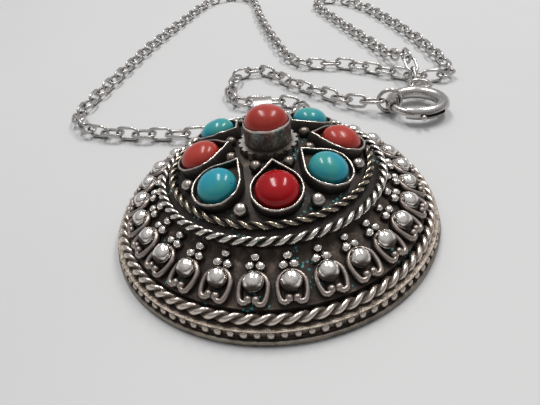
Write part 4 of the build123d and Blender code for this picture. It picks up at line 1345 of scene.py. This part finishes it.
@dataclass
class NeckChain:
    """Chain of oval wire links through the bail, with its clasp.

    Start and end of the route are in mm. Cuts are the links at which its four stretches begin and end, and roll
    is how far a link may turn about the line, in radians.
    """

    finishes: Finishes
    chain: Scatter
    start: Point = (17.9, 23.4, 2.11)
    end: Point = (27.45, 31.6, 1.8)
    links: int = 150
    cuts: tuple[int, ...] = (0, 12, 23, 34, 150)
    link_length: float = 4.45 * MM
    link_width: float = 2.5 * MM
    link_wire: float = 0.53 * MM
    roll: float = 0.16

    def link(self) -> bpy.types.Mesh:
        """One oval link, long in Z and lying in the XZ plane.

        Returns:
            The mesh.
        """
        steps, sides, across = 6, 6, Vector((0, 1, 0))
        bend = (self.link_width - self.link_wire) / 2
        straight = (self.link_length - self.link_width) / 2
        line: list[Vector] = []
        for side, low in ((1, -90), (-1, 90)):
            for step in range(steps + 1):
                angle = math.radians(low + 180 * step / steps)
                line.append(Vector((bend * math.sin(angle), 0.0, side * straight + bend * math.cos(angle))))
        points = []
        for number, spot in enumerate(line):
            out = (line[(number + 1) % len(line)] - line[number - 1]).normalized().cross(across)
            for corner in range(sides):
                angle = TURN * corner / sides
                points.append(spot + (out * math.cos(angle) + across * math.sin(angle)) * self.link_wire / 2)
        return mesh_from("link_pattern", points, tube_faces(len(line), sides, True))

    def spline_points(self) -> list[Vector]:
        """Points along the route's smooth spline, as Blender evaluates it.

        Returns:
            The points.
        """
        curve = bpy.data.curves.new("chain_route", "CURVE")
        curve.dimensions = "3D"
        curve.resolution_u = 24
        spline = curve.splines.new("NURBS")
        corners = [self.start, *ROUTE, self.end]
        spline.points.add(len(corners) - 1)
        for point, corner in zip(spline.points, corners):
            point.co = (corner[0] * MM, corner[1] * MM, corner[2] * MM, 1.0)
        spline.order_u = 3
        spline.use_endpoint_u = True
        holder = bpy.data.objects.new("chain_route", curve)
        bpy.context.scene.collection.objects.link(holder)
        graph = bpy.context.evaluated_depsgraph_get()
        mesh = bpy.data.meshes.new_from_object(holder.evaluated_get(graph), depsgraph=graph)
        points = [vertex.co.copy() for vertex in mesh.vertices]
        bpy.data.objects.remove(holder)
        return points

    def stations(self, points: list[Vector]) -> tuple[list[Vector], float]:
        """Middle of each link along the line.

        Args:
            points: The line.

        Returns:
            The middles, and the length of the line.
        """
        lengths = [0.0]
        for before, after in zip(points, points[1:]):
            lengths.append(lengths[-1] + (after - before).length)
        spots, number = [], 0
        for link in range(self.links):
            wanted = lengths[-1] * link / (self.links - 1)
            while number < len(points) - 2 and lengths[number + 1] < wanted:
                number += 1
            share = (wanted - lengths[number]) / max(1e-12, lengths[number + 1] - lengths[number])
            spots.append(points[number].lerp(points[number + 1], share))
        return spots, lengths[-1]

    def build(self) -> None:
        """Builds the four stretches of the chain and dresses the clasp."""
        spots, length = self.stations(self.spline_points())
        log.info("chain route %.1f mm", length / MM)
        pattern = hold("link_pattern", self.link())
        metal = self.finishes.silver["chain_silver"]
        names = ("chain_right", "chain_bail_right", "chain_bail_left", "chain_left")
        for number, node in enumerate(names):
            first, last = self.cuts[number], self.cuts[number + 1]
            line = spots[first:last]
            seed = bpy.data.meshes.new(node + "_line")
            seed.from_pydata(line, [(spot, spot + 1) for spot in range(len(line) - 1)], [])
            mesh = self.chain.run(node + "_links", {"Link": pattern, "First": first, "Roll": self.roll,
                                                    "Seed": 3 + number, "Material": metal}, seed)
            piece = new_object(node + "_links", mesh)
            if node == "chain_bail_right":
                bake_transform(piece)
            elif node == "chain_bail_left":
                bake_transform(piece)
            else:
                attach(piece, Body.BASE.value)
            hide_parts(node)
            step = length / (self.links - 1)
            log.info("built %s_links: %d links of %.2f mm pitch", node, last - first, step / MM)
        for node in ("clasp_body", "clasp_bolt", "clasp_eye", "jump_ring", "bail_loop", "bail_saddle"):
            self.finishes.dress(node, metal)


@dataclass
class ClaspSpring:
    """Coil spring inside the clasp's ring, built as one fixed coil; the real one shortens as the bolt is drawn back."""

    finishes: Finishes
    centre: Point = (24.7 * MM, 21.7 * MM, 1.8 * MM)
    ring_radius: float = 3.95 * MM
    coil_radius: float = 0.30 * MM
    wire_radius: float = 0.09 * MM
    first: float = math.radians(334)
    sweep: float = math.radians(97)
    turns: int = 9

    def spot(self, share: float, coil: float) -> Vector:
        """Point beside the spring's middle line.

        Args:
            share: Share of the spring's length.
            coil: Distance from the middle line.

        Returns:
            The point.
        """
        bearing, lay = self.first + self.sweep * share, TURN * self.turns * share
        out = self.ring_radius + coil * math.cos(lay)
        return Vector(self.centre) + Vector((out * math.cos(bearing), out * math.sin(bearing), coil * math.sin(lay)))

    def build(self) -> None:
        """Builds the spring between the clasp and its bolt."""
        steps, sides, near = self.turns * 14, 6, 0.001
        points = []
        for step in range(steps + 1):
            share = step / steps
            middle = self.spot(share, self.coil_radius)
            way = self.spot(share + near, self.coil_radius) - self.spot(share - near, self.coil_radius)
            out = (middle - self.spot(share, 0.0)).normalized()
            side = way.cross(out).normalized()
            for corner in range(sides):
                angle = TURN * corner / sides
                points.append(middle + (out * math.cos(angle) + side * math.sin(angle)) * self.wire_radius)
        mesh = mesh_from("clasp_spring_coil", points, tube_faces(steps + 1, sides, False))
        mesh.materials.append(self.finishes.silver["chain_silver"])
        piece = new_object("clasp_spring_coil", mesh)
        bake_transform(piece)
        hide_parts("clasp_spring")
        log.info("built clasp_spring_coil: %d faces", len(mesh.polygons))


@dataclass
class Studio:
    """Pale table, soft window light and the camera at the photograph's view."""

    place: Point = (-0.02845 * FIT, -2.17369 * FIT, 1.74085 * FIT)
    right: Point = (0.993510, -0.068239, -0.090999)
    upward: Point = (0.113739, 0.602447, 0.790013)
    back: Point = (0.000913, -0.795237, 0.606299)
    lens: float = 28.617
    sensor: float = 36.0
    near: float = 0.001
    far: float = 20.0
    table_half: float = 1.6
    table_drop: float = 0.02 * MM
    shaded_table: Colour = (0.62, 0.625, 0.63, 1)
    pale_table: Colour = (0.66, 0.665, 0.67, 1)
    windows: tuple[tuple[str, Point], ...] = (("window_left", (-0.07, 0.18, 0.44)),
                                              ("window_right", (0.22, 0.18, 0.44)))
    window_aim: Point = (0.0, 0.0, 0.006)
    window_size: tuple[float, float] = (0.055, 0.26)
    window_power: float = 0.92
    window_colour: Point = (1.0, 0.98, 0.96)

    def camera(self) -> None:
        """Sets the camera."""
        data = bpy.data.cameras.new("view")
        data.lens, data.sensor_width, data.sensor_fit = self.lens, self.sensor, "HORIZONTAL"
        data.clip_start, data.clip_end = self.near, self.far
        camera = bpy.data.objects.new("view", data)
        columns = Matrix((self.right, self.upward, self.back)).transposed()
        camera.matrix_world = Matrix.Translation(self.place) @ columns.to_4x4()
        bpy.context.scene.collection.objects.link(camera)
        bpy.context.scene.camera = camera

    def floor(self) -> None:
        """Lays the pale table top."""
        half = self.table_half
        mesh = bpy.data.meshes.new("table")
        mesh.from_pydata([(-half, -half, 0), (half, -half, 0), (half, half, 0), (-half, half, 0)], [], [(0, 1, 2, 3)])
        material, wiring = blank_material("table_top")
        cloud = wiring.cloud(wiring.place(), 14.0, 3.0)
        wiring.surface({"Base Color": wiring.mix(cloud, self.shaded_table, self.pale_table), "Roughness": 0.55})
        mesh.materials.append(material)
        table = new_object("table", mesh)
        table.location.z = -self.table_drop

    def lamp(self, name: str, place: Point) -> None:
        """Adds one window.

        Args:
            name: Name of the lamp.
            place: Where it stands.
        """
        data = bpy.data.lights.new(name, "AREA")
        data.shape, data.energy, data.color = "RECTANGLE", self.window_power, self.window_colour
        data.size, data.size_y = self.window_size
        lamp = bpy.data.objects.new(name, data)
        back = (Vector(place) - Vector(self.window_aim)).normalized()
        across = (Vector((1, 0, 0)) - back * back.x).normalized()
        columns = Matrix((across, back.cross(across), back)).transposed()
        lamp.matrix_world = Matrix.Translation(place) @ columns.to_4x4()
        bpy.context.scene.collection.objects.link(lamp)

    def lights(self) -> None:
        """Sets the sky and the windows.

        The sky lights the piece, and a dimmer room with a pale horizon is what the camera and mirrors see.
        """
        world = bpy.data.worlds.new("room")
        bpy.context.scene.world = world
        world.use_nodes = True
        world.node_tree.nodes.clear()
        wiring = Wiring(world.node_tree)
        way = wiring.add("ShaderNodeSeparateXYZ", {0: wiring.add("ShaderNodeTexCoord").outputs["Generated"]}).outputs
        height = wiring.remap(way[2], 0.2, 0.95)
        behind = wiring.remap(way[1], -0.7, 0.3)
        low_sky = wiring.mix(behind, (0.10, 0.085, 0.08, 1), (0.55, 0.55, 0.56, 1))
        sky = wiring.mix(height, low_sky, (0.95, 0.95, 0.96, 1))
        low_room = wiring.mix(behind, (0.055, 0.047, 0.044, 1), (0.30, 0.30, 0.31, 1))
        upper_room = wiring.mix(height, low_room, (0.52, 0.52, 0.53, 1))
        haze = wiring.math("SUBTRACT", 1.0, wiring.remap(way[2], 0.12, 0.30))
        room = wiring.mix(haze, upper_room, (0.64, 0.64, 0.65, 1))
        light = wiring.add("ShaderNodeBackground", {"Color": sky, "Strength": 0.55})
        seen = wiring.add("ShaderNodeBackground", {"Color": room, "Strength": 1.0})
        ray = wiring.add("ShaderNodeLightPath").outputs
        mirrored = wiring.math("MAXIMUM", ray["Is Glossy Ray"], ray["Is Transmission Ray"])
        both = wiring.add("ShaderNodeMixShader", {0: wiring.math("MAXIMUM", ray["Is Camera Ray"], mirrored),
                                                  1: light.outputs[0], 2: seen.outputs[0]})
        wiring.add("ShaderNodeOutputWorld", {"Surface": both.outputs[0]})
        for name, place in self.windows:
            self.lamp(name, place)

    def build(self) -> None:
        """Sets up the whole studio."""
        bpy.context.scene.view_settings.view_transform = "Standard"
        self.camera()
        self.floor()
        self.lights()


def main() -> None:
    """Builds every sub-assembly in order."""
    logging.basicConfig(level=logging.INFO, format="%(name)s: %(message)s")
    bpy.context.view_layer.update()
    Studio().build()
    finishes = Finishes()
    finishes.make()
    case = CaseShape()
    ring = Scatter(make_ring_tree())
    NeckChain(finishes, Scatter(make_chain_tree())).build()
    ClaspSpring(finishes).build()
    Rim(finishes, ring).build()
    WireRopes(case, finishes, Scatter(make_rope_tree())).build()
    FlankOrnaments(case, finishes, ring).build()
    Crown(case, finishes, ring).build()
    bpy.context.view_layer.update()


if __name__ == "__main__":
    main()
